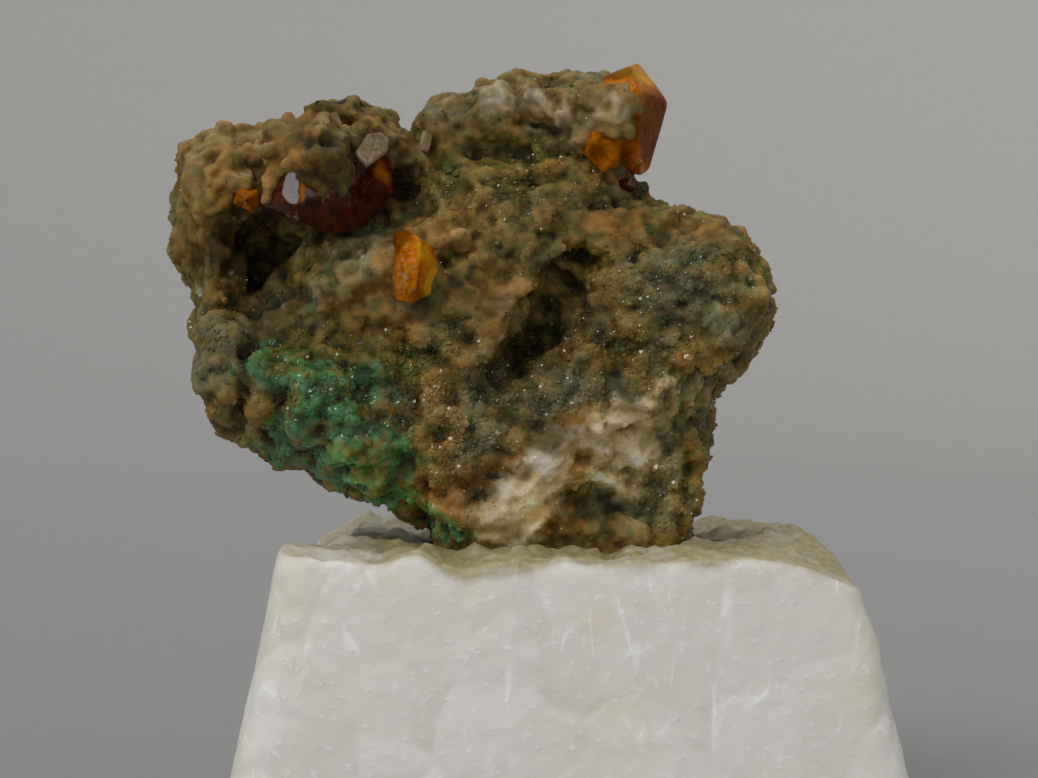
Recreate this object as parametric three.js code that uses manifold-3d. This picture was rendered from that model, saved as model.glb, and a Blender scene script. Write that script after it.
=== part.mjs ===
// Orange wulfenite crystals on a drusy rock matrix, standing in the pressed hollow of a foam display block.
// Millimetres, +Z up. The specimen's show side faces -Y. Heights are counted from the block's top plane
// while the piece is built; the last lines move the origin to the middle of the underside.

import * as THREE from 'three';
import { ConvexGeometry } from 'three/addons/geometries/ConvexGeometry.js';
import { ParametricGeometry } from 'three/addons/geometries/ParametricGeometry.js';
import { mergeGeometries, mergeVertices } from 'three/addons/utils/BufferGeometryUtils.js';
import Module from 'manifold-3d';

const wasm = await Module();
wasm.setup();

// ---- Driving dimensions -------------------------------------------------------------------------

const SEAT_GAP = 0.3; // clearance left round everything that is seated in something else

const BLOCK = {
  centreX: 1.9, // the rock stands left of the block's middle
  topWidth: 21.8,
  baseWidth: 27.7,
  height: 14,
  edgePower: 14, // exponent of the rounded square: higher is a sharper upright edge
  rimFrom: 0.86, // the worn rim starts this far out, as a share of the half width
  rimWear: 0.7, // how far the very edge has crumbled down
  rimLumps: 0.22,
};

const ROCK = {
  middle: [-2.9, 10.1], // x, z of the point that the outline is swept about
  frontDepth: 5.4,
  backDepth: 6.4,
  edgePower: 0.62, // below 1 the sides are steep and the faces broad
  rimHold: 8, // the relief fades out near the outline, faster for a higher power
  cells: 30, // grid cells across each sheet
  footBelow: 1.5, // the foot is pressed this far into the block
};

// The rock's outline in its middle plane, as x and z, anticlockwise from the right-hand end.
const OUTLINE = [
  [10.9, 9.6], [10.6, 10.8], [9.7, 12.4], [8.0, 13.6], [5.7, 14.5], [4.9, 15.0], [4.9, 16.6],
  [4.3, 18.2], [3.2, 19.3], [1.7, 19.6], [0.5, 20.0], [-1.2, 19.6], [-2.2, 19.0], [-3.3, 18.9],
  [-4.0, 18.1], [-4.4, 17.2], [-4.9, 17.3], [-5.8, 18.1], [-7.3, 18.5], [-8.5, 18.4],
  [-10.4, 17.7], [-12.0, 17.4], [-13.2, 17.1], [-14.1, 16.1], [-14.6, 14.6], [-14.8, 12.7],
  [-14.2, 11.6], [-13.5, 10.5], [-13.8, 8.5], [-13.1, 6.2], [-12.9, 5.0], [-10.9, 3.4],
  [-8.8, 2.2], [-5.9, 1.0], [-3.8, 0.2], [-3.0, -1.2], [-2.4, -3.4], [2.6, -3.8], [7.3, -3.4],
  [7.6, 0.9], [7.9, 2.9], [8.2, 4.8], [8.5, 6.3], [9.4, 7.0], [10.2, 8.5],
];

// Swells and hollows of the front: place and half size in x and z, turn in degrees, rise in mm.
const FRONT_RELIEF = [
  { at: [-10.1, 11.6], size: [3.0, 1.9], turn: 10, rise: -3.2 }, // the dark cavity under the knob
  { at: [-7.0, 12.2], size: [3.2, 1.2], turn: 12, rise: -1.6 }, // the undercut running right from it
  { at: [0.4, 9.2], size: [3.8, 1.0], turn: 51, rise: -2.3 }, // the diagonal trough
  { at: [-0.9, 8.6], size: [3.0, 0.7], turn: 51, rise: 1.0 }, // the raised plate along the trough
  { at: [1.0, 16.2], size: [4.6, 1.9], turn: 0, rise: -1.2 }, // the set-back olive band
  { at: [6.9, 10.0], size: [3.6, 4.0], turn: 0, rise: 1.2 }, // the right-hand lobe
  { at: [4.8, 2.1], size: [2.6, 2.4], turn: 30, rise: -1.7 }, // the recess at the lower right
  { at: [2.8, 4.3], size: [5.4, 0.9], turn: 43, rise: 1.2 }, // the pale vein
  { at: [-7.6, 4.8], size: [4.2, 2.4], turn: -25, rise: 0.9 }, // the malachite bulge
  { at: [-2.4, 3.8], size: [2.4, 2.0], turn: 0, rise: 0.7 },
  { at: [-5.6, 8.4], size: [3.6, 2.0], turn: 0, rise: -0.6 },
];

const BACK_RELIEF = [
  { at: [-8.0, 12.0], size: [4.5, 4.0], turn: 0, rise: -1.6 },
  { at: [3.0, 8.0], size: [5.0, 4.5], turn: 25, rise: 0.9 },
  { at: [1.5, 15.5], size: [4.0, 2.2], turn: 0, rise: -1.3 },
  { at: [-4.0, 4.5], size: [4.5, 2.0], turn: -30, rise: -1.0 },
];

// Rounded masses that stand out of the rock: middle, half sizes, turn about Y in degrees.
const LUMPS = [
  { at: [-9.2, -3.4, 15.6], size: [4.4, 3.6, 2.7], turn: -8, detail: 5 }, // the knob
  { at: [-12.9, -1.8, 15.0], size: [2.0, 3.2, 2.3], turn: 0, detail: 3 }, // its left end
  { at: [-13.3, -1.2, 11.4], size: [1.5, 3.2, 3.0], turn: 0, detail: 3 }, // the left wall
  { at: [-12.2, -1.8, 7.4], size: [1.8, 3.4, 2.4], turn: 0, detail: 3 }, // the cauliflower edge
  { at: [-8.3, -2.6, 5.6], size: [4.4, 3.6, 2.4], turn: 25, detail: 4 }, // the malachite bulge
  { at: [2.9, -2.2, 17.5], size: [2.2, 2.2, 1.8], turn: 0, detail: 3 }, // the crust under the summit
  { at: [0.4, -1.6, 18.0], size: [2.6, 2.4, 1.7], turn: 0, detail: 3 }, // the skyline shoulder
  { at: [7.4, -2.4, 10.2], size: [3.3, 3.8, 3.5], turn: 0, detail: 4 }, // the right-hand lobe
];

// Each crystal as its corners: x, y, z. A crystal listed with two sets is two grown into one.
const CRYSTALS = {
  wulfenite_centre: {
    colour: 0xd98a1e,
    hulls: [[
      [-4.5, -5.4, 12.9], [-5.05, -5.1, 12.75], [-5.2, -5.0, 11.8], [-5.15, -5.0, 10.8],
      [-4.95, -5.2, 9.95], [-4.3, -5.5, 9.9], [-3.5, -5.0, 10.4], [-3.3, -4.9, 11.2],
      [-3.6, -5.0, 12.1], [-4.0, -6.0, 12.4], [-4.05, -6.7, 11.5], [-4.2, -6.5, 10.4],
      [-4.75, -6.3, 11.5], [-4.4, -3.6, 11.5],
    ]],
  },
  wulfenite_summit: {
    colour: 0xb86a14,
    hulls: [
      [
        [5.0, -1.0, 20.1], [4.5, -3.0, 19.7], [4.9, -4.2, 18.5], [4.85, -4.0, 16.3],
        [5.85, -1.2, 19.1], [6.3, -1.0, 18.4], [6.2, -1.2, 17.9], [5.8, -1.0, 16.6],
        [5.45, -1.5, 15.5], [5.1, -2.2, 15.2], [4.5, -2.6, 15.4], [3.4, -2.0, 19.4],
        [3.3, -3.6, 18.5], [3.9, 1.0, 19.6], [5.85, 1.2, 19.0], [5.6, 0.8, 16.6], [3.7, 0.5, 17.0],
      ],
      [
        [2.4, -3.6, 16.2], [3.4, -4.3, 15.2], [4.05, -4.0, 15.9], [3.0, -4.6, 16.6],
        [4.35, -3.6, 17.4], [3.3, -3.6, 18.5], [3.0, -2.0, 18.0], [4.4, -2.0, 15.7],
        [3.0, -2.0, 15.9],
      ],
    ],
  },
  wulfenite_knob: {
    colour: 0x9a4a10,
    hulls: [[
      [-10.25, -6.4, 13.65], [-9.35, -7.2, 13.15], [-8.65, -7.4, 12.95], [-7.55, -6.2, 12.55],
      [-6.25, -5.0, 12.9], [-5.1, -4.0, 14.35], [-5.2, -4.2, 15.75], [-9.35, -7.6, 15.0],
      [-8.6, -7.9, 14.8], [-6.9, -7.2, 14.5], [-6.5, -6.4, 13.75], [-9.1, -6.6, 16.3],
      [-6.8, -5.6, 16.6], [-5.65, -4.4, 16.5], [-10.3, -3.0, 15.0], [-7.9, -1.5, 14.3],
      [-5.85, -1.5, 14.7], [-8.35, -1.5, 16.4],
    ]],
  },
  wulfenite_plate: {
    colour: 0xb9a184,
    hulls: [[
      [-6.5, -6.2, 15.9], [-6.1, -6.0, 16.6], [-5.5, -6.0, 16.7], [-5.15, -6.2, 16.4],
      [-5.2, -6.4, 15.9], [-6.1, -6.6, 15.2], [-6.45, -6.4, 15.65], [-6.4, -5.6, 15.9],
      [-6.05, -5.4, 16.5], [-5.2, -5.6, 16.3], [-5.3, -5.8, 15.9],
    ]],
  },
  wulfenite_left: {
    colour: 0xd6a02c,
    hulls: [[
      [-11.6, -4.6, 13.95], [-11.45, -4.8, 14.4], [-11.1, -4.6, 14.65], [-10.6, -4.6, 14.5],
      [-10.5, -4.8, 13.85], [-10.85, -5.0, 13.6], [-11.0, -5.4, 14.05], [-11.0, -3.6, 14.2],
    ]],
  },
  wulfenite_red: {
    colour: 0x6e2a16,
    hulls: [[
      [4.1, -3.2, 15.0], [4.6, -3.2, 15.1], [4.85, -3.0, 14.7], [4.4, -3.2, 14.35],
      [4.0, -3.2, 14.6], [4.4, -3.8, 14.75], [4.4, -2.2, 14.7],
    ]],
  },
  pale_blade: {
    colour: 0xc9c4b4,
    hulls: [[
      [-4.0, -3.6, 17.0], [-3.65, -3.6, 17.1], [-3.5, -3.8, 16.8], [-3.7, -4.4, 16.05],
      [-4.05, -4.4, 16.15], [-4.0, -3.2, 16.9], [-3.6, -3.2, 17.0], [-3.8, -3.6, 15.9],
    ]],
  },
  pale_prism: {
    colour: 0xcdb9a4,
    hulls: [[
      [-7.65, -4.6, 17.6], [-7.45, -4.6, 17.65], [-7.1, -5.2, 17.1], [-7.3, -5.2, 17.0],
      [-7.6, -4.2, 17.4], [-7.4, -4.2, 17.45], [-7.15, -4.7, 16.9],
    ]],
  },
};

// ---- Small helpers --------------------------------------------------------------------------------

const lerp = THREE.MathUtils.lerp;

/** A smooth wander between -1 and 1 over a place in mm, with swells about `size` mm across. */
function wander(x, y, z, size) {
  const k = Math.PI / size;
  const first = Math.sin(k * (x + 0.4 * z) + 0.7) * Math.sin(k * (z - 0.3 * y) + 1.9);
  const second = Math.sin(1.7 * k * (y + 0.5 * x) + 2.6) * Math.sin(1.9 * k * (z + 0.6 * x) + 0.2);
  return 0.6 * first + 0.4 * second;
}

/** The closed solid inside a geometry whose faces meet along shared positions. */
function toSolid(geometry) {
  const bare = new THREE.BufferGeometry();
  bare.setAttribute('position', geometry.getAttribute('position'));
  bare.setIndex(geometry.getIndex());
  const merged = mergeVertices(bare, 1e-4);
  return new wasm.Manifold(new wasm.Mesh({
    numProp: 3,
    vertProperties: Float32Array.from(merged.getAttribute('position').array),
    triVerts: Uint32Array.from(merged.getIndex().array),
  }));
}

/** A named mesh of a solid. */
function toMesh(name, solid, material) {
  const { vertProperties, triVerts } = solid.getMesh();
  const geometry = new THREE.BufferGeometry();
  geometry.setAttribute('position', new THREE.BufferAttribute(Float32Array.from(vertProperties), 3));
  geometry.setIndex(new THREE.BufferAttribute(Uint32Array.from(triVerts), 1));
  geometry.computeVertexNormals();
  const mesh = new THREE.Mesh(geometry, material);
  mesh.name = name;
  return mesh;
}

/** Moves every corner of a geometry by a function that changes the point it is given. */
function warp(geometry, move) {
  const position = geometry.getAttribute('position');
  const point = new THREE.Vector3();
  for (let i = 0; i < position.count; i += 1) {
    point.fromBufferAttribute(position, i);
    move(point);
    position.setXYZ(i, point.x, point.y, point.z);
  }
  return geometry;
}

// ---- The rock -------------------------------------------------------------------------------------

const TURN = 2 * Math.PI;
const wrap = (angle) => ((angle % TURN) + TURN) % TURN;

// The outline again as angle and distance about the rock's middle, in order of angle.
const SWEEP = OUTLINE.map(([x, z]) => {
  const across = x - ROCK.middle[0];
  const up = z - ROCK.middle[1];
  return { angle: wrap(Math.atan2(up, across)), reach: Math.hypot(across, up) };
}).sort((one, two) => one.angle - two.angle);

/** Distance from the rock's middle to its outline along an angle, eased between the listed points. */
function outlineReach(angle) {
  const at = wrap(angle);
  const after = SWEEP.findIndex((point) => point.angle > at);
  const next = SWEEP[after === -1 ? 0 : after];
  const last = SWEEP[(after <= 0 ? SWEEP.length : after) - 1];
  const share = wrap(at - last.angle) / wrap(next.angle - last.angle);
  return lerp(last.reach, next.reach, THREE.MathUtils.smoothstep(share, 0, 1));
}

/** Sum of the soft swells and hollows in a list, at a place on the face. */
function relief(x, z, features) {
  let rise = 0;
  for (const feature of features) {
    const angle = THREE.MathUtils.degToRad(feature.turn);
    const across = x - feature.at[0];
    const up = z - feature.at[1];
    const along = (across * Math.cos(angle) + up * Math.sin(angle)) / feature.size[0];
    const beside = (up * Math.cos(angle) - across * Math.sin(angle)) / feature.size[1];
    rise += feature.rise * Math.exp(-along * along - beside * beside);
  }
  return rise;
}

/** The square from -1 to 1 laid on a round disc without a seam, as an angle and a share of the radius. */
function squareToDisc(a, b) {
  if (a === 0 && b === 0) return { angle: 0, share: 0 };
  const wide = Math.abs(a) > Math.abs(b);
  const angle = wide ? (Math.PI / 4) * (b / a) : Math.PI / 2 - (Math.PI / 4) * (a / b);
  const signed = wide ? a : b;
  return { angle: signed < 0 ? angle + Math.PI : angle, share: Math.abs(signed) };
}

/** One face of the rock, from the outline in to the middle. `side` is -1 for the front, 1 for the back. */
function rockSheet(side, grow) {
  const depth = side < 0 ? ROCK.frontDepth : ROCK.backDepth;
  const features = side < 0 ? FRONT_RELIEF : BACK_RELIEF;
  return new ParametricGeometry((u, v, target) => {
    const { angle, share } = squareToDisc(side * (1 - 2 * u), 2 * v - 1);
    const out = Math.sin((Math.PI / 2) * share);
    const reach = out * (outlineReach(angle) + grow);
    const x = ROCK.middle[0] + reach * Math.cos(angle);
    const z = ROCK.middle[1] + reach * Math.sin(angle);
    const body = share === 1 ? 0 : Math.cos((Math.PI / 2) * share) ** ROCK.edgePower;
    const hold = 1 - out ** ROCK.rimHold;
    const rough = 0.3 * wander(x, 0, z, 2.4);
    target.set(x, side * (body * (depth + grow) + hold * (relief(x, z, features) + rough)), z);
  }, ROCK.cells, ROCK.cells);
}

/** The rock's main mass: a front and a back face that meet along the outline. */
function rockBody(grow) {
  return toSolid(mergeGeometries([rockSheet(-1, grow), rockSheet(1, grow)]));
}

/** A rounded mass with a rough skin. */
function lump({ at, size, turn, detail }) {
  const geometry = new THREE.IcosahedronGeometry(1, detail);
  warp(geometry, (point) => {
    const { x, y, z } = point;
    point.multiplyScalar(1 + 0.09 * wander(x + at[0], y + at[1], z + at[2], 0.8));
  });
  geometry.scale(...size);
  geometry.rotateY(THREE.MathUtils.degToRad(turn));
  geometry.translate(...at);
  return toSolid(geometry);
}

/** Everything under a level, as one block that is cut away. */
function below(level) {
  const reach = 60;
  const geometry = new THREE.BoxGeometry(reach, reach, reach);
  geometry.translate(0, 0, level - reach / 2);
  return toSolid(geometry);
}

/** The rock, with a flat foot and a seat cut for each crystal. */
function matrixRock(crystalNames) {
  let rock = rockBody(0);
  for (const one of LUMPS) rock = rock.add(lump(one));
  rock = rock.subtract(below(-ROCK.footBelow));
  for (const name of crystalNames) rock = rock.subtract(crystal(name, SEAT_GAP));
  return rock;
}

// ---- The crystals ---------------------------------------------------------------------------------

/** A crystal from its corners, its faces moved out by about `grow`. */
function crystal(name, grow) {
  const parts = CRYSTALS[name].hulls.map((corners) => {
    const points = corners.map((corner) => new THREE.Vector3(...corner));
    const middle = points.reduce((sum, point) => sum.add(point), new THREE.Vector3());
    middle.divideScalar(points.length);
    for (const point of points) {
      const out = point.clone().sub(middle);
      point.add(out.setLength(1.5 * grow));
    }
    return toSolid(new ConvexGeometry(points));
  });
  return parts.reduce((whole, part) => whole.add(part));
}

// ---- The foam block -------------------------------------------------------------------------------

/** The block before the hollow is pressed: a square frustum with rounded uprights and a worn rim. */
function foamBlank() {
  const geometry = new THREE.BoxGeometry(2, 2, 1, 16, 16, 7);
  return warp(geometry, (point) => {
    const { x, y } = point;
    const up = point.z + 0.5;
    const out = Math.max(Math.abs(x), Math.abs(y));
    const power = BLOCK.edgePower;
    const round = out / (Math.abs(x) ** power + Math.abs(y) ** power) ** (1 / power) || 1;
    const half = lerp(BLOCK.baseWidth, BLOCK.topWidth, up) / 2;
    point.x = BLOCK.centreX + half * round * x;
    point.y = half * round * y;
    point.z = -BLOCK.height * (1 - up);
    if (up === 1) {
      const worn = THREE.MathUtils.smoothstep(out, BLOCK.rimFrom, 1);
      point.z += BLOCK.rimLumps * wander(point.x, point.y, 0, 1.9) - BLOCK.rimWear * worn ** 2;
    }
  });
}

/** The block with the hollow that the rock has pressed into its top. */
function foamBlock() {
  const floor = below(-ROCK.footBelow - SEAT_GAP);
  return toSolid(foamBlank()).subtract(rockBody(1.5 * SEAT_GAP).subtract(floor));
}

// ---- The whole ------------------------------------------------------------------------------------

const matte = (color, roughness) => new THREE.MeshStandardMaterial({ color, roughness, metalness: 0 });
const crystalNames = Object.keys(CRYSTALS);

const solids = [
  ['foam_block', foamBlock(), matte(0xddd6ca, 0.9)],
  ['matrix_rock', matrixRock(crystalNames), matte(0x756244, 0.85)],
  ...crystalNames.map((name) => [name, crystal(name, 0), matte(CRYSTALS[name].colour, 0.2)]),
];

const group = new THREE.Group();
for (const [name, solid, material] of solids) group.add(toMesh(name, solid, material));

// The origin goes to the middle of the underside of the whole.
const bounds = new THREE.Box3().setFromObject(group);
const underside = bounds.getCenter(new THREE.Vector3()).setZ(bounds.min.z);
group.position.copy(underside).negate();

export default group;
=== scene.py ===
"""Wulfenite on a drusy, malachite-stained rock, set in the pressed hollow of a foam display block."""

import math
from functools import partial

import bmesh
import bpy
import numpy as np
from bpy.props import FloatProperty, FloatVectorProperty, IntProperty, PointerProperty
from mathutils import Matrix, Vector


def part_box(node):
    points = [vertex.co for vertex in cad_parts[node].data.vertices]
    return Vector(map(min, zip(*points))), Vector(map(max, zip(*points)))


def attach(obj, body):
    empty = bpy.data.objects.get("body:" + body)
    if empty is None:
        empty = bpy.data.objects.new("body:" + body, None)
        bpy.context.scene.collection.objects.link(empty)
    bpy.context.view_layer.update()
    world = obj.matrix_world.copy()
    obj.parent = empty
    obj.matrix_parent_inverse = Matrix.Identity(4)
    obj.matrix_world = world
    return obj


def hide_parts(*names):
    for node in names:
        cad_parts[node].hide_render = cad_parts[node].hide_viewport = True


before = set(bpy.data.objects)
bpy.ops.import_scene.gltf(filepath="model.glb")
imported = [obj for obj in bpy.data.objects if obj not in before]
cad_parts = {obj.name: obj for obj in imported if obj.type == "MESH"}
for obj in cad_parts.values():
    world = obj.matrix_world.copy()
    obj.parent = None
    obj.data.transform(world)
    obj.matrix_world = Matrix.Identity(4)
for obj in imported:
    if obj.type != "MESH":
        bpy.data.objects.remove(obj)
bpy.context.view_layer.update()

bl_info = {
    "name": "Wulfenite specimen",
    "version": (1, 0, 0),
    "blender": (4, 5, 0),
    "location": "3D View > Sidebar > Specimen",
    "description": "Builds a wulfenite specimen on its foam display block",
    "category": "Object",
}

# ---- Places and sizes ----
# Shapes are worked out in mm from the point where the viewing axis meets the block's top plane:
# x to the right, y away from the viewer, z up.

MM = 0.001
BLOCK_HEIGHT = 14.0
BLOCK_MIDDLE = 1.9  # x of the block's middle
BLOCK_LOW, BLOCK_HIGH = (np.array(corner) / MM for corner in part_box("foam_block"))
BASE_SPREAD = 0.25  # how far the foam's foot stands past the CAD block's sides
BASE_HALF = (BLOCK_HIGH[1] - BLOCK_LOW[1]) / 2 + BASE_SPREAD
TOP_HALF = 11.15
CORNER_POWER = 22  # of the block's rounded uprights; a higher one is sharper
BLOCK_GRID = (150, 80)  # points across a side and up it
FRONT_BOW = 0.5
HOLLOW_MIDDLE, HOLLOW_HALF, HOLLOW_DEPTH = (2.4, 0.2), (5.8, 4.6), 1.6
CRUMB_SIZE, CRUMB_HEIGHT, TOP_DIP, TOP_WAVE = 0.9, 0.24, 0.25, 0.2
BEAD_BULGE, SEAM_DEPTH, PIT_DEPTH, SKIN_WAVE = 0.03, 0.012, 0.05, 0.025
BEAD_STIR = (1.5, 0.25, 1)
FLAT_FOOT = 0.3  # up to this height the foam has no bead pattern
ORIGIN = np.array([
    (BLOCK_LOW[0] + BLOCK_HIGH[0]) / 2 - BLOCK_MIDDLE,
    (BLOCK_LOW[1] + BLOCK_HIGH[1]) / 2,
    BLOCK_LOW[2] + BLOCK_HEIGHT,
])
# Heights of the block's back and front rims along x.
BACK_RIM = np.array([
    (-9, -0.7), (-8, -0.3), (-7, 0.3), (-4.5, 0.2), (9, 0.1), (12, 0), (13, -0.45),
])
RIM = np.array([
    (-9, 0.5), (-7.8, 0.35), (-6, 0.1), (-5.2, 0.1), (-4.6, 0.3), (-3.8, 0.42), (-3.4, 0.05), (-2.2, -0.4),
    (-1.4, -0.1), (1, -0.12), (1.9, 0.08), (3.7, -0.15), (5.5, 0.15), (6.5, 0.25), (9.2, 0.25), (10.6, 0.05),
    (11.7, -0.4), (12.8, -0.9),
])

# Yellowed spots on the block's front, in the same form as the relief below.
STAINS = [
    (-4.1, -3, 1.2, 0.8, 0.3), (-1.8, -1.8, 0.7, 1.2, 0.4), (-4.6, -0.6, 1, 0.8, 0.3),
    (2.9, -2.2, 0.8, 0.8, 0.3), (13.2, -3, 0.7, 2.8, 0.5), (3, -5.2, 1.2, 0.8, 0.2),
]

EYE = (0.0, -100.0, 7.75)  # the camera's place
EYE_PITCH = -0.8  # degrees; below 0 it looks down
LENS, SENSOR = 81.5, 36.0
NEAREST_SEEN = 5.0

# Lamps: place, side and colour. Each one's power is the stage setting of its name.
LAMP_AIM = (-2.0, 0.0, 8.0)
LAMPS = {
    "key": ((-330, -440, 460), 250, (1.0, 0.99, 0.975)),
    "fill": ((420, -400, 420), 250, (1.0, 0.95, 0.88)),
    "top": ((-60, 120, 700), 380, (0.98, 0.99, 1.0)),
}
BOWL_FLAT, BOWL_BEND, BOWL_WALL = 320.0, 260.0, 90.0

ROCK_MIDDLE = (-2.9, 10.1)
ROCK_FRONT, ROCK_BACK = 5.4, 6.4  # how far the rock swells before and behind its middle plane
ROCK_EDGE_POWER = 0.62
ROCK_FOOT = -1.5
SHELL_VOXEL = 0.2  # for knitting the rounded masses together
SHEET_GRID = 150  # points along a side of the grid of each face of the rock

# The skin's packed knobs, from large to small: distance apart and height. What stirs them, and with
# them bends their rows, is given as size, way and seed.
BOSS, BOSS_HEIGHT = 1.9, 0.26
KNOB, KNOB_HEIGHT, KNOB_SEED = 0.9, 0.46, 102
SUGAR, SUGAR_HEIGHT = 0.42, 0.14
MALACHITE_KNOB, MALACHITE_HEIGHT = 0.6, 0.2
FLECK = 0.34
STIR, SUGAR_STIR = (1.1, 0.35, 91), (0.5, 0.14, 95)
MALACHITE_STIR, FLECK_STIR = (0.7, 0.2, 96), (0.4, 0.14, 321)
SKIN_SWELL, FINE_SWELL, BALL_SWELL = 0.2, 0.06, 0.08
SUNK, FINE_SUNK = 0.4, 0.03  # the skin is drawn in first, so that its knobs end at the outline

FRAY, FRAY_X, FRAY_Z = (1.1, 71, 4, 0.7), 0.25, 0.2  # what frays the growths' edges, and how far

# The skin's colours lie between a growth's gap and crest colours; the darker gap colour, taken where a point
# sinks in, is painted shade. What mixes them is how far a point stands out, the tones of its lump and of its
# grain, and clouds. The near-black brown after them is painted shade laid in the hollows.
CREST, LUMP_TONE, FLECK_TONE, CLOUD_TONE = 0.5, 0.24, 0.16, 0.16
CREST_GAIN = 2.8  # how fast a point that stands out, per mm, turns to the crest colour
HUE_CLOUDS, HUE_FLECKS, GREEN_SHARE = 0.7, 0.4, 0.3
GROUND_GAP, HOLLOW_SHADE, GREEN_GRAIN = 0x463A1A, 0x1C160C, 0x3A6A32
GAPS = {
    "slate": 0x46462E, "olive": 0x35300F, "crust": 0x60481F, "umber_and_shade": 0x241A08, "rust": 0x5A3512,
    "malachite": 0x143A1E, "cream": 0x7D6740, "chalk": 0xB29E76,
}

# The rock's outline in its middle plane, as x and z, anticlockwise from the right-hand end.
OUTLINE = np.array([
    (10.95, 9.45), (10, 10.85), (9.1, 12.2), (7.7, 13.3), (5.7, 14.45), (5.1, 15), (4.9, 16.6), (4.5, 18.2),
    (3.6, 19.6), (1.7, 19.7), (0.4, 19.65), (-1.2, 19.45), (-2.2, 18.75), (-3.4, 18.8), (-4.1, 18.1),
    (-4.45, 17.2), (-4.8, 17.3), (-5.7, 18.3), (-7.3, 18.6), (-8.6, 18.4), (-10.4, 17.5), (-12, 17.5),
    (-13.5, 17.5), (-14.5, 16.45), (-14.5, 14.7), (-14.85, 12.7), (-14.4, 11.6), (-13.5, 10.4), (-13.85, 8.5),
    (-13, 6.2), (-12.9, 5.1), (-11, 3.6), (-8.8, 2.7), (-6.1, 1.6), (-3.8, 0.7), (-3, -1.2), (-2.4, -3.4),
    (2.6, -3.8), (7.3, -3.4), (7.65, 0.9), (7.8, 2.9), (8.1, 4.8), (8.5, 6.3), (9.35, 7.1), (10.4, 8.2),
])

# Swells and hollows: x, z, half sizes along x and z, rise, and a turn in degrees if there is one.
FRONT_RELIEF = [
    (-11, 11.5, 2.3, 2.4, -3.4),  # the dark cavity under the knob
    (-7.4, 13, 3, 0.8, -1.5, 12),  # the undercut running right from it
    (-4.9, 14.5, 1, 1.4, -1.8, -35),  # and up
    (-7.2, 11.4, 2.2, 1, 0.5, 10),
    (0.9, 9.1, 3.8, 1.1, -2.5, 51),  # the diagonal trough
    (-0.9, 8.6, 3, 0.7, 1, 51),  # the raised plate along the trough
    (1, 16.2, 4.6, 1.9, -1.2),  # the set-back olive band
    (6.9, 10, 3.6, 4, 1.2),  # the right-hand lobe
    (4.8, 2.1, 2.6, 2.4, -1.7, 30),  # the recess at the lower right
    (2.6, 4.2, 5.4, 1.5, 0.9, 42),  # the pale vein
    (-7.6, 4.8, 4.2, 2.4, 0.9, -25),  # the malachite bulge
    (-2.4, 3.8, 2.4, 2, 0.7), (-5.6, 8.4, 3.6, 2, -0.6),
]
BACK_RELIEF = [
    (-8, 12, 4.5, 4, -1.6), (3, 8, 5, 4.5, 0.9, 25), (1.5, 15.5, 4, 2.2, -1.3), (-4, 4.5, 4.5, 2, -1, -30),
]

# Rounded masses: middle, half sizes, turn about Y in degrees.
LUMPS = [
    ((-9.2, -3.4, 15.6), (4.4, 3.6, 2.6), -8),  # the knob
    ((-12.4, -1.8, 15), (1.9, 3.2, 2.1), 0),  # its left end
    ((-7.9, -5.2, 15.3), (1.8, 3.25, 2), 0),  # the sandy dome over its crystal
    ((-9.3, -5, 16.2), (1.4, 2.6, 1.1), 0),  # the ledge over the white facet
    ((-9.85, -6.7, 14.35), (0.45, 0.9, 0.85), 0), ((-9, -7.2, 15.3), (0.6, 0.7, 0.4), 0),
    ((-12.6, -0.8, 11.6), (1.2, 3, 2.6), 0),  # the left wall
    ((-11.7, -1.8, 7.4), (1.7, 3.4, 2.1), 0),  # the cauliflower edge
    ((-8, -2.6, 5.9), (4.2, 3.6, 2.1), 25),  # the malachite bulge
    ((2.9, -2.2, 17.4), (2.2, 2.2, 1.6), 0),  # the crust under the summit
    ((3.8, -3.9, 17.75), (1.35, 1.2, 1.2), 0),  # the crust on the summit crystal
    ((4, -3.4, 18.6), (0.9, 0.9, 0.5), 0), ((4.4, -4.1, 17.1), (0.6, 0.7, 0.8), 0),
    ((0.4, -1.6, 17.6), (2.6, 2.4, 1.6), 0),  # the skyline shoulder
    ((4.95, -2, 14.75), (0.5, 0.9, 0.55), 0),
    ((7.3, -2.4, 10.2), (3.1, 3.8, 3.4), 0),  # the right-hand lobe
]

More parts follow.
